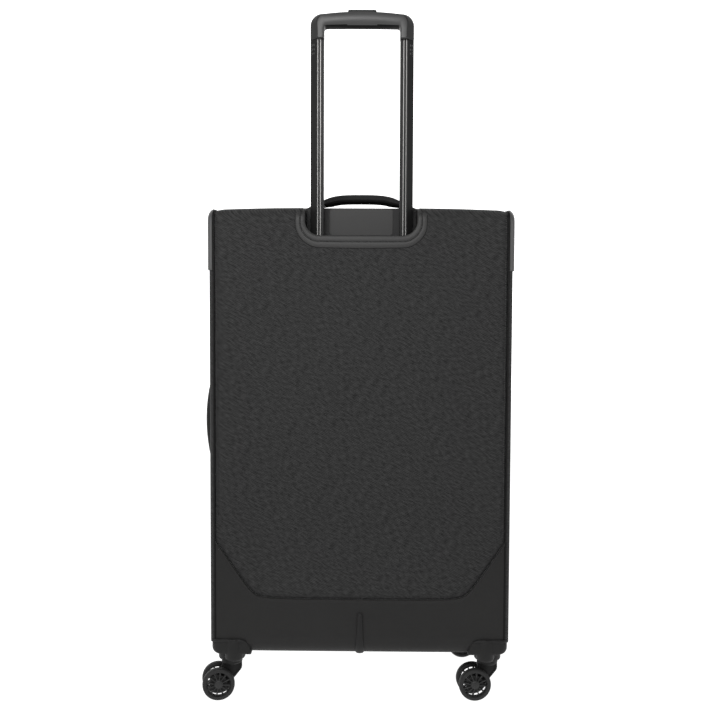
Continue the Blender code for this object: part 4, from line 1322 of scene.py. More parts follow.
def carry_handle(name, caps, place, shape):
    """A padded handle: a stuffed strap with a sewn channel along both edges, on two moulded caps."""

    def line(s):
        return shape["rise"] - shape["square"] * s ** 2 - shape["fourth"] * s ** 4

    def half_thick(s):
        full, end = shape["thick"] / 2, 0.003
        return full - (full - end) * smooth((abs(s) / shape["reach"] - 0.6) / 0.4)

    def swell(across):
        """Half the thickness at a share across, with the channels."""
        share = (1 - abs(across) ** 3.2) ** 0.5
        dip = 0.26 * (1 - smooth(abs(abs(across) - 0.72) / 0.1))
        return share * (1 - dip)

    acrosses = [-cos(angle) for angle in spread(0, pi, 26)]
    sections = []
    for s in spread(-shape["reach"], shape["reach"], 56):
        half = half_thick(s)
        top = [(across, half * swell(across)) for across in acrosses]
        under = [(across, -half * swell(across)) for across in acrosses[-2:0:-1]]
        slope = Vector((1, -2 * shape["square"] * s - 4 * shape["fourth"] * s ** 3)).normalized()
        middle = line(s) - half
        sections.append([
            place(s - slope.y * b, across * HANDLE_HALF_D, middle + slope.x * b)
            for across, b in top + under
        ])
    bm = bmesh.new()
    loft(bm, sections)
    bmesh.ops.recalc_face_normals(bm, faces=bm.faces)
    # Faces turned away from the strap's outside get the dark under-side cloth: painted shade for the shadow
    # under the strap.
    out = place(0, 0, 1) - place(0, 0, 0)
    for face in bm.faces:
        if face.normal.dot(out) < -0.2:
            face.material_index = 1
    made = piece(
        f"{name}_pad", bm, "webbing under_webbing", "case", [f"{name}_strap"], sharp=70
    )
    steps = spread(-shape["cap"] + 0.004, shape["cap"] - 0.004, 60)
    lines = []
    for across in (-0.72, 0.72):
        for face in (1, -1):
            path = []
            for s in steps:
                half = half_thick(s)
                height = line(s) - half + face * half * swell(across) * 1.02
                path.append(place(s, across * HANDLE_HALF_D, height))
            lines.append((path, out * face))
    stitching(f"{name}_stitching", lines, "case", pitch=0.004)
    for end, cap in zip((-1, 1), caps):
        carry_cap(cap, end, place, shape["cap"], line(shape["cap"]))


def both_faces(levels):
    """(inset, depth) levels of one face, after the same levels of the opposite face."""
    return [(inset, -depth) for inset, depth in levels] + levels[::-1]


def carry_cap(name, end, place, start, rise):
    """A moulded end cap of a carry handle, with ribs on its slope and a step round its foot."""
    top = rise + 0.003
    finish = start + CAP_LENGTH
    outline = rounded([
        (start, 0.0, 0), (start, top, 0.0015), (start + 0.003, top, 0.004), (start + 0.014, 0.0108, 0.008),
        (finish, 0.0055, 0.003), (finish, 0.0, 0),
    ], steps=4)
    bm = bmesh.new()

    def put(a, b, depth):
        return place(end * a, depth, b)

    sections = []
    for inset, depth in both_faces([(0.003, 0.0175), (0.001, 0.017), (0.0, 0.0155)]):
        sections.append([put(a, b, depth) for a, b in grown(outline, -inset * 0.8)])
    loft(bm, sections)
    made = piece(name + "_form", bm, "moulded_plastic", stands_for=[name], sharp=50)
    soften(made, 0.0006, 2, 50)
    bm = bmesh.new()
    first, last = Vector((start + 0.013, 0.0112)), Vector((finish - 0.001, 0.0058))
    out = Vector((last.y - first.y, first.x - last.x)) * -1
    out.normalize()
    for share in (0.18, 0.42, 0.66):
        at = first.lerp(last, share) + out * 0.0001
        path = [put(at.x, at.y, depth) for depth in spread(-0.011, 0.011, 8)]
        up = put(at.x + out.x, at.y + out.y, 0) - put(at.x, at.y, 0)
        sweep(bm, path, up, circle(0.0008, 8))
    piece(name + "_ribs", bm, "moulded_plastic")
    bm = bmesh.new()
    low, high = (start - 0.004, -0.0205), (finish + 0.004, 0.0205)
    levels = [(0.0, -0.0008), (0.0, 0.0012), (0.0006, 0.0018), (0.0016, 0.002)]

    def lie(a, b, depth):
        return place(end * a, b, depth)

    pillow(bm, low, high, (0.006,) * 4, (10, 14), levels, lie, flat_face)
    piece(name + "_foot", bm, "dark_plastic", crown=True)


# ------------------------------------------------------------------ casters

HOUSING_LOW_Z = 0.0815
PIVOT_X = abs(JOINTS["swivel_rear_right"]["pos_m"][0] - MID_X)
SOCKET_R = 0.0215
BOSS_IN = 0.0072  # how far the half column stands in from the pivot
BOSS_FOOT_Z = 0.0708


def turned(bm, section, sides=24, finish=0, place=None):
    """A (radius, depth) section turned about the depth axis; place puts (a, b, depth) in space."""
    rows = []
    for angle in spread(0, 2 * pi, sides):
        rows.append([place(radius * cos(angle), radius * sin(angle), depth) for radius, depth in section])
    quads(bm, rows, finish=finish)


def caster_housing(name):
    """A corner housing: a lip over a plain face, a half column in front of the pivot and its ring."""
    low, high = BUMPERS[name]
    side = 1 if low.x > 0 else -1
    pivot = JOINTS["swivel_" + name]["pos_m"]
    rear = pivot[1] > 0
    inner_x, outer_x = sorted((abs(low.x), abs(high.x)))
    near, far = (high.y, low.y) if rear else (low.y, high.y)
    facing = 1 if rear else -1
    top_z = high.z
    outer_x = HALF_W - 0.0016  # the housing is drawn in a little from the cloth above it
    corner = 0.011
    levels = [
        (0.0, -0.004), (0.0006, -0.0022), (0.0016, -0.001), (0.003, -0.0004), (0.005, -0.0004),
        (0.008, -0.0004), (0.0115, -0.0004), (0.015, -0.0004), (0.018, -0.0004), (0.02, -0.0004),
        (0.0206, 0.0004), (0.0212, 0.0012), (0.0222, 0.0014), (0.0242, 0.0014), (0.0252, 0.001),
        (0.0258, 0.0),
    ]
    sections = []
    for rise, grow in levels:
        cut = corner - sqrt(corner ** 2 - max(0.0, corner - rise) ** 2)
        share = min(1.0, max(0.0, rise - 0.0118) / 0.0142)
        bend = 0.014 * (1 - sqrt(1 - share * share)) + 0.007 * rise / 0.0255
        outline = rounded([
            (inner_x + bend, far, 0.003), (outer_x - cut, far, 0.003),
            (outer_x - cut, near, 0.0125 if rear else 0.006), (inner_x + bend, near, 0.003),
        ], steps=6)
        sections.append([
            Vector((side * a, b, HOUSING_LOW_Z + rise)) for a, b in grown(outline, grow)
        ])
    bm = bmesh.new()
    loft(bm, sections)
    pivot_x = side * PIVOT_X

    def at_pivot(a, b, depth):
        return Vector((pivot_x + a, pivot[1] + b, depth))

    def at_boss(a, b, depth):
        return Vector((pivot_x - side * BOSS_IN + a, near - facing * 0.0112 + b, depth))

    ring = [
        (0.0, low.z + 0.003), (0.0178, low.z + 0.003), (0.018, low.z + 0.0003), (0.019, low.z),
        (0.0204, low.z + 0.0004), (0.0213, low.z + 0.0018), (SOCKET_R, low.z + 0.004),
        (SOCKET_R, HOUSING_LOW_Z + 0.003),
    ]
    turned(bm, ring, 40, place=at_pivot)
    foot = BOSS_FOOT_Z
    boss = [
        (0.0, foot), (0.0105, foot), (0.0125, foot + 0.0006), (0.0138, foot + 0.0022),
        (0.0143, foot + 0.005), (0.0145, top_z - 0.0012), (0.0138, top_z - 0.0002), (0.0, top_z - 0.0001),
    ]
    turned(bm, boss, 36, place=at_boss)
    piece(f"housing_{name}", bm, "moulded_plastic", stands_for=[f"caster_housing_{name}"], sharp=48)


def fork_and_wheels(name):
    """A caster's fork between its two wheels, turned as the frame's caster is."""
    pivot = JOINTS["swivel_" + name]["pos_m"]
    axle_low, axle_high = box("axle_" + name)
    axle = (axle_low + axle_high) / 2
    pivot_x = pivot[0] - MID_X
    trail = sqrt((axle.x - pivot_x) ** 2 + (axle.y - pivot[1]) ** 2)
    turn = Matrix.Rotation(atan2(axle.y - pivot[1], axle.x - pivot_x), 4, "Z")
    to_place = Matrix.Translation((pivot_x, pivot[1], 0)) @ turn
    flange_z = 0.0632

    def put(a, b, depth):
        return to_place @ Vector((a, depth, b))

    def stand(a, b, depth):
        return to_place @ Vector((a, b, depth))

    web = rounded([
        (-0.0158, flange_z - 0.004, 0), (-0.016, 0.0465, 0.011), (0.0078, 0.0175, 0.01),
        (trail + 0.004, 0.0165, 0.009), (trail + 0.008, 0.03, 0.008), (0.017, 0.05, 0.006),
        (0.016, flange_z - 0.004, 0),
    ], steps=5)
    bm = bmesh.new()
    sections = []
    for inset, depth in both_faces([(0.0016, 0.0058), (0.0004, 0.0052), (0.0, 0.004)]):
        sections.append([put(a, b, depth) for a, b in grown(web, -inset)])
    loft(bm, sections)
    for face in (-1, 1):
        rim = grown(web, -0.003)
        path = [put(a, b, face * 0.0058) for a, b in rim]
        up = put(0, 0, face) - put(0, 0, 0)
        sweep(bm, path, up, circle(0.0009, 6), ring=True)
        hub = [(0.0, face * 0.0082), (0.0062, face * 0.0082), (0.007, face * 0.0076), (0.007, face * 0.004)]
        turned(bm, hub, 24, place=lambda a, b, depth: put(trail + a, axle.z + b, depth))
    flange = [(0.0, flange_z - 0.0078), (0.014, flange_z - 0.0078), (0.0158, flange_z - 0.0066),
              (0.0168, flange_z - 0.0046), (0.0168, flange_z - 0.0008), (0.016, flange_z), (0.0, flange_z)]
    turned(bm, flange, 36, place=stand)
    turned(bm, [(0.0052, flange_z - 0.002), (0.005, 0.0945), (0.0, 0.095)], 20, place=stand)
    body = f"swivel_{name}"
    piece(f"fork_form_{name}", bm, "moulded_plastic", body, stands_for=[f"fork_{name}"])
    bm = bmesh.new()
    pin = [(0.0, -0.0205), (0.0017, -0.0205), (0.0021, -0.0201)]
    pin += [(radius, -depth) for radius, depth in pin[::-1]]
    turned(bm, pin, 18, place=lambda a, b, depth: put(trail + a, axle.z + b, depth))
    piece(f"axle_pin_{name}", bm, "steel", body, [f"axle_{name}"])
    for letter, offset in (("a", 0.015), ("b", -0.015)):

        def on_axle(a, b, depth, offset=offset):
            return put(trail + a, axle.z + b, offset + depth)

        wheel(f"{name}_{letter}", on_axle)


def mirrored(section):
    """A (radius, depth) half section joined with its mirror image."""
    return section + [(radius, -depth) for radius, depth in section[::-1]]


def wheel(name, place):
    """A wheel: a soft tyre, a rim on thin spokes and a closed web with a hub."""
    bm = bmesh.new()
    tyre = mirrored([
        (0.02, 0.0058), (0.0204, 0.0062), (0.0222, 0.0065), (0.0238, 0.0064), (0.025, 0.0057),
        (0.0257, 0.0043), (0.026, 0.0022), (0.026, 0.0004),
    ])
    turned(bm, tyre + tyre[:1], 56, 1, place)
    rim = mirrored([(0.0194, 0.003), (0.0194, 0.005), (0.0197, 0.0058), (0.0202, 0.0056)])
    turned(bm, rim + rim[:1], 56, 0, place)
    hub = mirrored([
        (0.0, 0.0066), (0.0034, 0.0066), (0.0062, 0.006), (0.0074, 0.0046), (0.0077, 0.0026),
        (0.0077, 0.001),
    ])
    turned(bm, hub, 32, 0, place)
    spokes = 12
    taper = (  # radius, half depth and half width along a spoke
        (0.0074, 0.0046, 0.0008), (0.011, 0.003, 0.0007), (0.015, 0.0026, 0.001),
        (0.0196, 0.0026, 0.0012),
    )
    for index in range(spokes):
        angle = 2 * pi * (index + 0.3) / spokes
        across = Vector((-sin(angle), cos(angle)))
        ray = Vector((cos(angle), sin(angle)))
        sections = []
        for radius, half, wide in taper:
            corners = ((wide, half), (wide, -half), (-wide, -half), (-wide, half))
            sections.append([
                place(*(ray * radius + across * share), depth) for share, depth in corners
            ])
        loft(bm, sections)
    body = f"wheel_{name}"
    piece(
        f"wheel_form_{name}", bm, "wheel_plastic wheel_tread", body, [body], sharp=50
    )
    # The web between the spokes is in dark plastic: painted shade for the shadow behind the spokes.
    bm = bmesh.new()
    turned(bm, [(0.007, -0.0008), (0.007, 0.0008), (0.0141, 0.0006), (0.0141, -0.0006)], 40, 0, place)
    piece(f"wheel_web_{name}", bm, "dark_plastic", body)


# ------------------------------------------------------------------ zipper, lid and pockets


def case_ring(y, out, radius=0.011):
    """The case's outline seen from the front, at a y: points and outward directions."""
    low, high = (-HALF_W - out, BOTTOM_Z - out), (HALF_W + out, TOP_Z + out)
    sides = runs(low, high, (radius + out,) * 4, (30, 44), 5)
    points = ring_of(sides)
    path = [Vector((point.x, y, point.y)) for point in points]
    inner = Vector((HALF_W - radius, 0, (TOP_Z - BOTTOM_Z) / 2 - radius))
    middle = Vector((0, y, (TOP_Z + BOTTOM_Z) / 2))
    ups = []
    for point in path:
        from_middle = point - middle
        nearest = Vector((
            min(max(from_middle.x, -inner.x), inner.x), 0, min(max(from_middle.z, -inner.z), inner.z)
        ))
        ups.append((from_middle - nearest).normalized())
    return path, ups


def on_zip(point):
    """Whether the zipper runs here: all round but along the hinge's side and its corners."""
    return point.x > -HALF_W + 0.014


def zip_teeth(name, body, y, start):
    """One row of the main zipper's coil."""
    bm = bmesh.new()
    path, ups = case_ring(y, -0.0002)
    path, ups = path[start:] + path[:start], ups[start:] + ups[:start]
    for at, direction, up in walk(path, ups, 0.0022, True):
        if on_zip(at):
            lozenge(bm, at, direction.cross(up), up, 0.0034, 0.0015, 0.0009)
    piece(name, bm, "dark_plastic", body, crown=True)


def main_zipper():
    """The tape on the case, both rows of the coil and the bindings beside them."""
    tape = ((BAND_Y + ZIP_Y) / 2 + 0.0002, -0.0012)
    section = strip(0.0056, 0.0004)
    made = swept("zipper_tape_case", *case_ring(*tape), section, "webbing", "case", crown=True)
    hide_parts("zipper_track")
    bound = (BAND_Y + 0.0002, -0.0004)
    swept("zipper_binding_case", *case_ring(*bound), circle(0.0015, 8), "piping", "case", crown=True)
    zip_teeth("zipper_teeth_case", "case", ZIP_Y + 0.0019, 0)
    zip_teeth("zipper_teeth_lid", "lid", ZIP_Y - 0.0017, 1)
    tape = (ZIP_Y - 0.0032, -0.0012)
    swept("zipper_tape_lid", *case_ring(*tape), strip(0.0028, 0.0004), "webbing", "lid", crown=True)
    bound = (ZIP_Y - 0.0066, -0.0003)
    swept("zipper_binding_lid", *case_ring(*bound), circle(0.0014, 8), "piping", "lid", crown=True)


def hinge_tape():
    """The cloth hinge between the case and the lid, opposite the lock."""
    bm = bmesh.new()
    rows = []
    first, last = BAND_Y + 0.01, ZIP_Y - 0.014
    heights = spread(BOTTOM_Z + 0.04, TOP_Z - 0.04, 40)
    for y in spread(first, last, 14):
        lift = 0.0009 * smooth(min(first - y, y - last) / 0.0015)
        rows.append([Vector((MID_X - HALF_W - 0.0004 - lift, y, z)) for z in heights])
    quads(bm, rows)
    mesh = bpy.data.meshes.new("hinge_tape")
    bm.to_mesh(mesh)
    bm.free()
    made = bpy.data.objects.new("hinge_tape", mesh)
    bpy.context.scene.collection.objects.link(made)
    mesh.materials.append(material("webbing"))
    mesh.shade_smooth()
    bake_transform(made)


def forward(a, b, depth):
    """Place a point of the lid: a across, b up and the depth in front of the zipper."""
    return Vector((a, ZIP_Y - depth, b))


LID_DEPTH = ZIP_Y - LID_Y


def lid_cloth():
    """The lid: a shallow tray of twill over board with a lining inside."""
    bm = bmesh.new()
    levels = [(0.0014, 0.0002), (0.0014, 0.0058), (0.0004, 0.0066), (0.0, 0.008)]
    levels += rolled(LID_DEPTH - R_FRONT, R_FRONT, 7)
    low, high = (-HALF_W, BOTTOM_Z), (HALF_W, TOP_Z)
    pillow(
        bm, low, high, (0.012,) * 4, (60, 90), levels, forward,
        lambda across, up: 0.0002 * (1 - (2 * across - 1) ** 8),
    )
    made = piece(
        "lid_cloth", bm, "twill_fabric lining_fabric", "lid", ["lid_panel"], True,
        Vector((0, 0.5, 0.437)),
    )
    thicken(made, 0.003, 1)
    lines = [case_ring(ZIP_Y - out, 0.0001) for out in (0.0095, 0.012)]
    stitching("lid_edge_stitching", lines, "lid", True, True)


def lid_pocket(name, low_z, high_z, half_w):
    """A stuffed pocket on the lid, with a cord round its foot and its zipper above it."""
    thick = 0.0122
    low, high = (-half_w, low_z), (half_w, high_z)

    def put(a, b, depth):
        return forward(a, b, LID_DEPTH + depth)

    def swell(across, up):
        full = (1 - (2 * across - 1) ** 4) * (1 - (2 * up - 1) ** 4)
        return 0.0042 * full + 0.0005 * full * sin(9 * across + 5 * up)

    levels = [(0.0, -0.001), (-0.0006, 0.002), (-0.0004, 0.004)] + [
        (inset - 0.0004, depth) for inset, depth in rolled(0.004, thick - 0.004, 7)[1:]
    ]
    bm = bmesh.new()
    pillow(bm, low, high, (0.018,) * 4, (44, 30), levels, put, swell)
    made = piece(
        f"pocket_{name}_cloth", bm, "twill_fabric", "lid", [f"lid_pocket_{name}"],
        inside=Vector((0, 0, (low_z + high_z) / 2)), sharp=60,
    )
    path = [put(*point, 0.0011) for point in ring_of(runs(low, high, (0.018,) * 4, (44, 30), 5))]
    swept(f"pocket_{name}_piping", path, Vector((0, -1, 0)), circle(0.0016, 8), "piping", "lid")
    lines = []
    for side in (-1, 1):
        x = side * (half_w - 0.045)
        path = []
        for up in spread(0.06, 0.94, 40):
            across = (x + half_w) / (2 * half_w)
            path.append(put(x, low_z + (high_z - low_z) * up, thick + swell(across, up) + 0.0001))
        lines.append((path, Vector((0, -1, 0))))
    stitching(f"pocket_{name}_stitching", lines, "lid")
    pocket_zip(name, high_z + 0.011, half_w - 0.012)


def pocket_zip(name, z, half_w):
    """A pocket's zipper on the lid: its tape, its two rows of teeth and a stop at both ends."""
    def put(a, b, depth):
        return forward(a, z + b, LID_DEPTH + depth)

    bm = bmesh.new()
    levels = [(0.0, -0.0005), (0.0, 0.0006), (0.0005, 0.001)]
    pillow(bm, (-half_w, -0.0095), (half_w, 0.009), (0.003,) * 4, (30, 6), levels, put, flat_face)
    piece(f"pocket_zip_{name}_tape", bm, "webbing", "lid")
    bm = bmesh.new()
    up = Vector((0, -1, 0))
    rows = int(2 * (half_w - 0.004) / 0.0022)
    for side in (-1, 1):
        for index in range(rows):
            a = -half_w + 0.004 + 0.0022 * (index + (0.25 if side > 0 else 0.75))
            lozenge(bm, put(a, side * 0.0011, 0.0012), Vector((0, 0, 1)), up, 0.003, 0.0013, 0.0008)
    piece(f"pocket_zip_{name}_teeth", bm, "dark_plastic", "lid")
    lines = []
    for b in (-0.0075, 0.007):
        lines.append(([put(a, b, 0.001) for a in spread(-half_w + 0.002, half_w - 0.002, 30)], up))
    stitching(f"pocket_zip_{name}_stitching", lines, "lid")


def zip_slider(node_name, body, to_place, shift):
    """A zipper slider: a waisted body, its bridge, and a pull tab beside or on it.

    It is modelled for a zipper along x on a surface that faces -y.
    """
    def put(a, b, depth):
        return to_place @ Vector((a, -depth, b))

    waist = rounded([
        (-0.007, -0.003, 0.0012), (-0.0022, -0.004, 0.003), (0.007, -0.0026, 0.0012),
        (0.007, 0.0026, 0.0012), (-0.0022, 0.004, 0.003), (-0.007, 0.003, 0.0012),
    ], steps=4)
    bm = bmesh.new()
    for bottom, top in ((0.0004, 0.0014), (0.0024, 0.0034)):
        loft(bm, [
            [put(a, b, bottom) for a, b in waist], [put(a, b, top - 0.0003) for a, b in waist],
            [put(a, b, top) for a, b in grown(waist, -0.0003)],
        ])
    post = rounded([(-0.0016, -0.001, 0.0006), (0.0016, -0.001, 0.0006), (0.0016, 0.001, 0.0006),
                    (-0.0016, 0.001, 0.0006)], steps=3)
    loft(bm, [[put(a, b, depth) for a, b in post] for depth in (0.001, 0.003)])
    reach = 0.0052
    arch = []
    for a in spread(-reach, reach, 12):
        arch.append(put(a, 0, 0.003 + 0.0021 * sqrt(max(0.0, 1 - (a / reach) ** 2))))
    up = put(0, 1, 0) - put(0, 0, 0)
    sweep(bm, arch, up, strip(0.0005, -0.0016, -0.0016))
    if shift:
        path = [put(0.0045, 0.0, 0.004), put(0.0052, shift * 0.3, 0.0043), put(0.0056, shift * 0.7, 0.0043),
                put(0.0066, shift, 0.0043)]
        out = put(0, 0, 1) - put(0, 0, 0)
        sweep(bm, path, out, circle(0.0011, 8))
    tab = rounded([
        (0.0045, shift - 0.0024, 0.001), (0.0235, shift - 0.0038, 0.0024), (0.0235, shift + 0.0038, 0.0024),
        (0.0045, shift + 0.0024, 0.001),
    ], steps=4)
    sections = [grown(tab, -0.0006), tab, tab, grown(tab, -0.0006)]
    loft(bm, [
        [put(a, b, depth) for a, b in section]
        for section, depth in zip(sections, (0.0031, 0.0035, 0.0048, 0.0052))
    ])
    groove = grown(tab, -0.0019)
    path = [put(a, b, 0.0052) for a, b in groove]
    out = put(0, 0, 1) - put(0, 0, 0)
    sweep(bm, path, out, circle(0.0004, 6), ring=True)
    piece(node_name + "_form", bm, "die_cast", body, [node_name], sharp=35)


def sliders():
    for node_name, turn, shift in (("main_slider_upper", 1, 0.009), ("main_slider_lower", -1, -0.009)):
        low, high = box(node_name)
        end = high.z - 0.007 if turn > 0 else low.z + 0.007
        rotation = Matrix.Rotation(radians(90), 4, "Z") @ Matrix.Rotation(radians(90 * turn), 4, "Y")
        place = Matrix.Translation((HALF_W, ZIP_Y, end)) @ rotation
        zip_slider(node_name, node_name.replace("main_", ""), place, shift)
    for node_end, body_end in (("upper", "high"), ("lower", "low")):
        node_name = "pocket_slider_" + node_end
        low, high = box(node_name)
        place = Matrix.Translation((low.x + 0.007, LID_Y, (low.z + high.z) / 2))
        zip_slider(node_name, "pocket_slider_" + body_end, place, 0)


# ------------------------------------------------------------------ lock


def dial(number):
    """A thumb wheel with grooves round it."""
    node_name = f"lock_dial_{number}"
    low, high = box(node_name)
    middle = (low + high) / 2
    radius, half = (high.x - low.x) / 2, (high.z - low.z) / 2
    bm = bmesh.new()
    count = 40
    outer = []
    for index in range(count):
        angle = 2 * pi * index / count
        dip = 0.0005 if index % 4 == 0 else 0.0
        outer.append(((radius - dip) * cos(angle), (radius - dip) * sin(angle)))
    sections = []
    for inset, depth in both_faces([(0.0006, half), (0.0, half - 0.0005)]):
        share = 1 - inset / radius
        sections.append([middle + Vector((a * share, b * share, depth)) for a, b in outer])
    loft(bm, sections)
    piece(f"dial_{number}", bm, "die_cast", f"dial_{number}", [node_name], sharp=30)


def lock_trim():
    """A raised rim round the lock's face and a screw head at both ends."""
    low, high = box("lock_body")
    inset = 0.0026
    corners = (low.y + inset, low.z + inset), (high.y - inset, high.z - inset)
    rim = ring_of(runs(*corners, (0.003,) * 4, (6, 14)))
    path = [Vector((high.x - 0.0001, point.x, point.y)) for point in rim]
    section = circle(0.0006, 6)
    swept("lock_rim", path, Vector((1, 0, 0)), section, "moulded_plastic", "case", slot="moulded_plastic")
    bm = bmesh.new()
    for z in (low.z + 0.0075, high.z - 0.0075):
        head = [(0.0, 0.0004), (0.001, 0.001), (0.0022, 0.0008), (0.0026, 0.0), (0.0026, -0.0005)]
        middle = Vector((high.x, HALF_LOCK_Y, z))
        turned(bm, head, 20, place=lambda a, b, depth, at=middle: at + Vector((depth, a, b)))
    piece("lock_screws", bm, "steel", "case")


HALF_LOCK_Y = sum(corner.y for corner in box("lock_body")) / 2

# ------------------------------------------------------------------ the inside

STRAP_Z = 0.44  # the height where the packing straps cross


def quilt(a, b, pitch=0.045):
    """The swell of diamond quilting, 0 on its seams and 1 at the middle of a diamond."""
    one, two = (a + b) / pitch, (a - b) / pitch
    return min(abs(sin(pi * one)), 1.0) ** 0.5 * min(abs(sin(pi * two)), 1.0) ** 0.5


def in_housing(point):
    """Whether a point lies where the board is cut out for the handle's housing."""
    return abs(point.x) < BEZEL_HALF - 0.004 and point.z > BEZEL_LOW.z + 0.004


def lining_board():
    """The quilted board that covers the handle's tubes inside the case."""
    low, high = box("lining_panel")
    bm = bmesh.new()
    rows = []
    for z in spread(low.z, high.z, 150):
        row = []
        for x in spread(low.x, high.x, 100):
            edge = min(x - low.x, high.x - x, z - low.z, high.z - z)
            swell = 0.0024 * quilt(x, z) * smooth(edge / 0.012)
            row.append(Vector((x, low.y - swell, z)))
        rows.append(row)
    quads(bm, rows, skip=in_housing)
    made = piece(
        "lining_board", bm, "lining_fabric", "case", ["lining_panel"],
        inside=Vector((0, 0.5, STRAP_Z)), sharp=60,
    )
    thicken(made, high.y - low.y)
    bm = bmesh.new()
    centre = Vector((0, low.y - 0.0034, STRAP_Z))
    for x in (-1, 1):
        for z in (-1, 1):
            far = Vector((x * (HALF_W - 0.016), low.y - 0.0034, STRAP_Z + z * 0.3))
            path = [centre.lerp(far, share) for share in spread(0.06, 1, 12)]
            sweep(bm, path, Vector((0, -1, 0)), strip(0.0125))
    piece("packing_straps", bm, "webbing", "case")
    bm = bmesh.new()

    def put(a, b, depth):
        return Vector((a, low.y - 0.004 - depth, STRAP_Z + b))

    levels = [(0.0, -0.001), (0.0, 0.004)] + rolled(0.004, 0.003, 4)[1:]
    pillow(bm, (-0.03, -0.024), (0.03, 0.024), (0.01,) * 4, (12, 10), levels, put, flat_face)
    piece("strap_buckle", bm, "moulded_plastic", sharp=50)


def base_board():
    """The bottom of the case: smooth cloth outside, lining inside."""
    low, high = box("base_tray")
    bm = bmesh.new()
    rows = []
    for y in spread(low.y, high.y, 30):
        rows.append([Vector((x, y, low.z + 0.0004)) for x in spread(low.x, high.x, 60)])
    quads(bm, rows, skip=under_bumper)
    made = piece(
        "base_cloth", bm, "smooth_fabric lining_fabric", "case", ["base_tray"],
        inside=CASE_CENTRE,
    )
    thicken(made, 0.0036, 1)


def lid_inside():
    """A netting pocket with a zipper inside the lid."""
    y = LID_Y + 0.0036
    half_w, low_z, high_z = 0.2, 0.15, 0.64
    bm = bmesh.new()
    rows = []
    for z in spread(low_z, high_z, 60):
        row = []
        for x in spread(-half_w, half_w, 50):
            edge = min(x + half_w, half_w - x, z - low_z, high_z - z)
            row.append(Vector((x, y + 0.0008 + 0.0045 * smooth(edge / 0.05), z)))
        rows.append(row)
    quads(bm, rows)
    made = piece("inner_pocket", bm, "netting", "lid", inside=Vector((0, -0.5, 0.4)))
    thicken(made, 0.0006)
    edge = ring_of(runs((-half_w, low_z), (half_w, high_z), (0.004,) * 4, (40, 40)))
    path = [Vector((point.x, y + 0.0012, point.y)) for point in edge]
    swept("inner_pocket_binding", path, Vector((0, 1, 0)), strip(0.006), "webbing", "lid")


# ------------------------------------------------------------------ build it

back_cloth()
kick_cloth_panel()
for name, side in SIDES:
    side_seam(name, side)
    side_cloth(name, side)
    corner_guard(name, side)
    sliding_tube(name, side)
skid()
bezel()
recess_tray()
grip_bar()
release_button()
carry_handle("top_handle", ("top_handle_cap_left", "top_handle_cap_right"), over_top, TOP_STRAP)
carry_handle("side_handle", ("side_handle_cap_lower", "side_handle_cap_upper"), over_side, SIDE_STRAP)
for name in CASTERS:
    caster_housing(name)
    fork_and_wheels(name)
main_zipper()
hinge_tape()
lid_cloth()
for name, node_name in (("lower", "lid_pocket_lower"), ("upper", "lid_pocket_upper")):
    low, high = box(node_name)
    lid_pocket(name, low.z, high.z, high.x)
sliders()
for number in (1, 2, 3):
    dial(number)
lock_trim()
lining_board()
base_board()
lid_inside()

KEPT = {  # CAD nodes that show as they are, by their material's name
    "moulded_plastic": ("lock_body", "tube_foot", "end_bush_left", "end_bush_right"),
    "die_cast": ("lock_button",),
    "black_aluminium": ("outer_tube_left", "outer_tube_right"),
    "steel": ("push_rod_left", "push_rod_right"),
}
for slot, node_names in KEPT.items():
    for node_name in node_names:
        kept = frame["nodes"][node_name]
        kept.data.materials.clear()
        kept.data.materials.append(material(slot))

# ------------------------------------------------------------------ floor, light and camera

scene = bpy.context.scene
scene.view_settings.view_transform = "Standard"
SKY_STRENGTH = 0.34


def glowing_plane(name, size, tint, roughness):
    """A flat square on the stage that gives off white light; returns it, its tree and its shader."""
    bm = bmesh.new()
    bmesh.ops.create_grid(bm, x_segments=1, y_segments=1, size=size)
    mesh = bpy.data.meshes.new(name)
    bm.to_mesh(mesh)
    bm.free()
    made = bpy.data.objects.new(name, mesh)
    scene.collection.objects.link(made)
    finish, tree, shader = finish_of(name, (tint,) * 3, roughness)
    shader.inputs["Emission Color"].default_value = (1, 1, 1, 1)
    mesh.materials.append(finish)
    made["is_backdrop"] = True
    return made, tree, shader


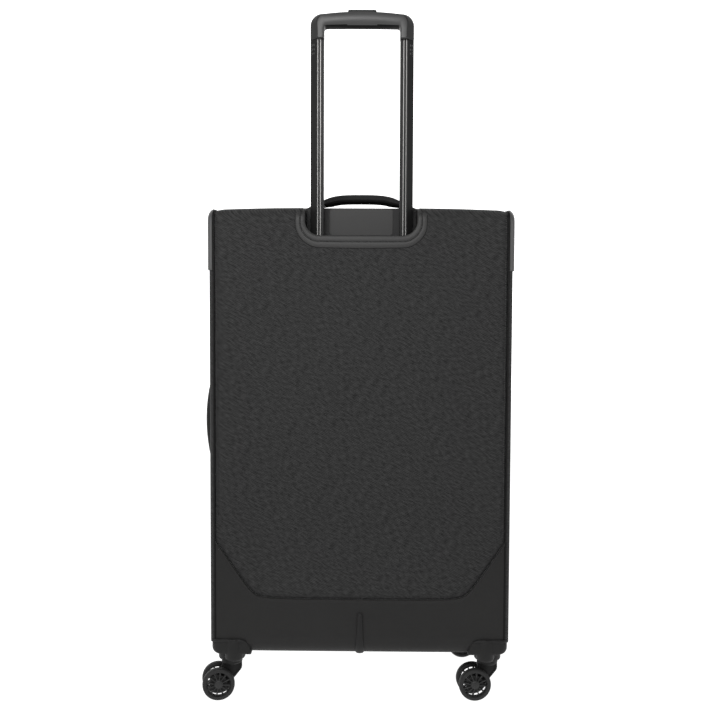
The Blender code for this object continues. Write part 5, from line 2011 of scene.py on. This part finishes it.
def floor():
    """A pale floor: white behind the case, and softly darker towards its front."""
    tree, shader = glowing_plane("floor", 30, 0.3, 0.9)[1:]
    apart = node(tree, "SeparateXYZ", {"Vector": place_on(tree)}).outputs["Y"]
    values = {"Value": apart, "From Min": 0.21, "From Max": 1.2, "To Min": 1.0, "To Max": 0.4}
    tree.links.new(node(tree, "MapRange", values).outputs["Result"], shader.inputs["Emission Strength"])


def softbox(name, at, aim, size, power):
    lamp = bpy.data.lights.new(name, "AREA")
    lamp.shape = "RECTANGLE"
    lamp.size, lamp.size_y = size
    lamp.energy = power
    made = bpy.data.objects.new(name, lamp)
    made.location = at
    made.rotation_euler = (Vector(aim) - Vector(at)).to_track_quat("-Z", "Y").to_euler()
    scene.collection.objects.link(made)
    made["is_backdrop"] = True


def backdrop():
    """A white wall of light far behind the case, as a product photo has."""
    made, tree, shader = glowing_plane("backdrop", 1, 1, 1.0)
    made.scale = (8, 4, 1)
    made.rotation_euler = (radians(-90), 0, 0)
    made.location = (0, -6, 3)
    shader.inputs["Emission Strength"].default_value = 1.0


floor()
backdrop()
world = bpy.data.worlds.new("studio")
scene.world = world
world.use_nodes = True
background = world.node_tree.nodes["Background"]
background.inputs["Color"].default_value = (1, 1, 1, 1)
background.inputs["Strength"].default_value = SKY_STRENGTH
softbox("key", (0.25, 1.3, 1.26), (0, 0.15, 0.68), (0.8, 0.5), 17)
softbox("left_strip", (2.3, 0.7, 0.9), (0.2, 0.1, 0.6), (0.6, 1.6), 8)
softbox("right_strip", (-2.3, 0.7, 0.9), (-0.2, 0.1, 0.6), (0.6, 1.6), 7)

# The camera's place, tilt and roll were fitted to the photo.
LENS = 49.24
CAMERA_BACK = 1.55
CAMERA_Z = 0.6328
CAMERA_TILT = radians(86.863)
CAMERA_ROLL = radians(0.22)
camera = bpy.data.objects.new("camera", bpy.data.cameras.new("camera"))
camera.data.lens = LENS
camera.data.sensor_width = 36
camera.location = (MID_X - 0.0028, REAR_Y + CAMERA_BACK, CAMERA_Z)
aim = Matrix.Rotation(radians(180), 4, "Z") @ Matrix.Rotation(CAMERA_TILT, 4, "X")
camera.rotation_euler = (aim @ Matrix.Rotation(CAMERA_ROLL, 4, "Z")).to_euler()
scene.collection.objects.link(camera)
scene.camera = camera

low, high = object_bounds()
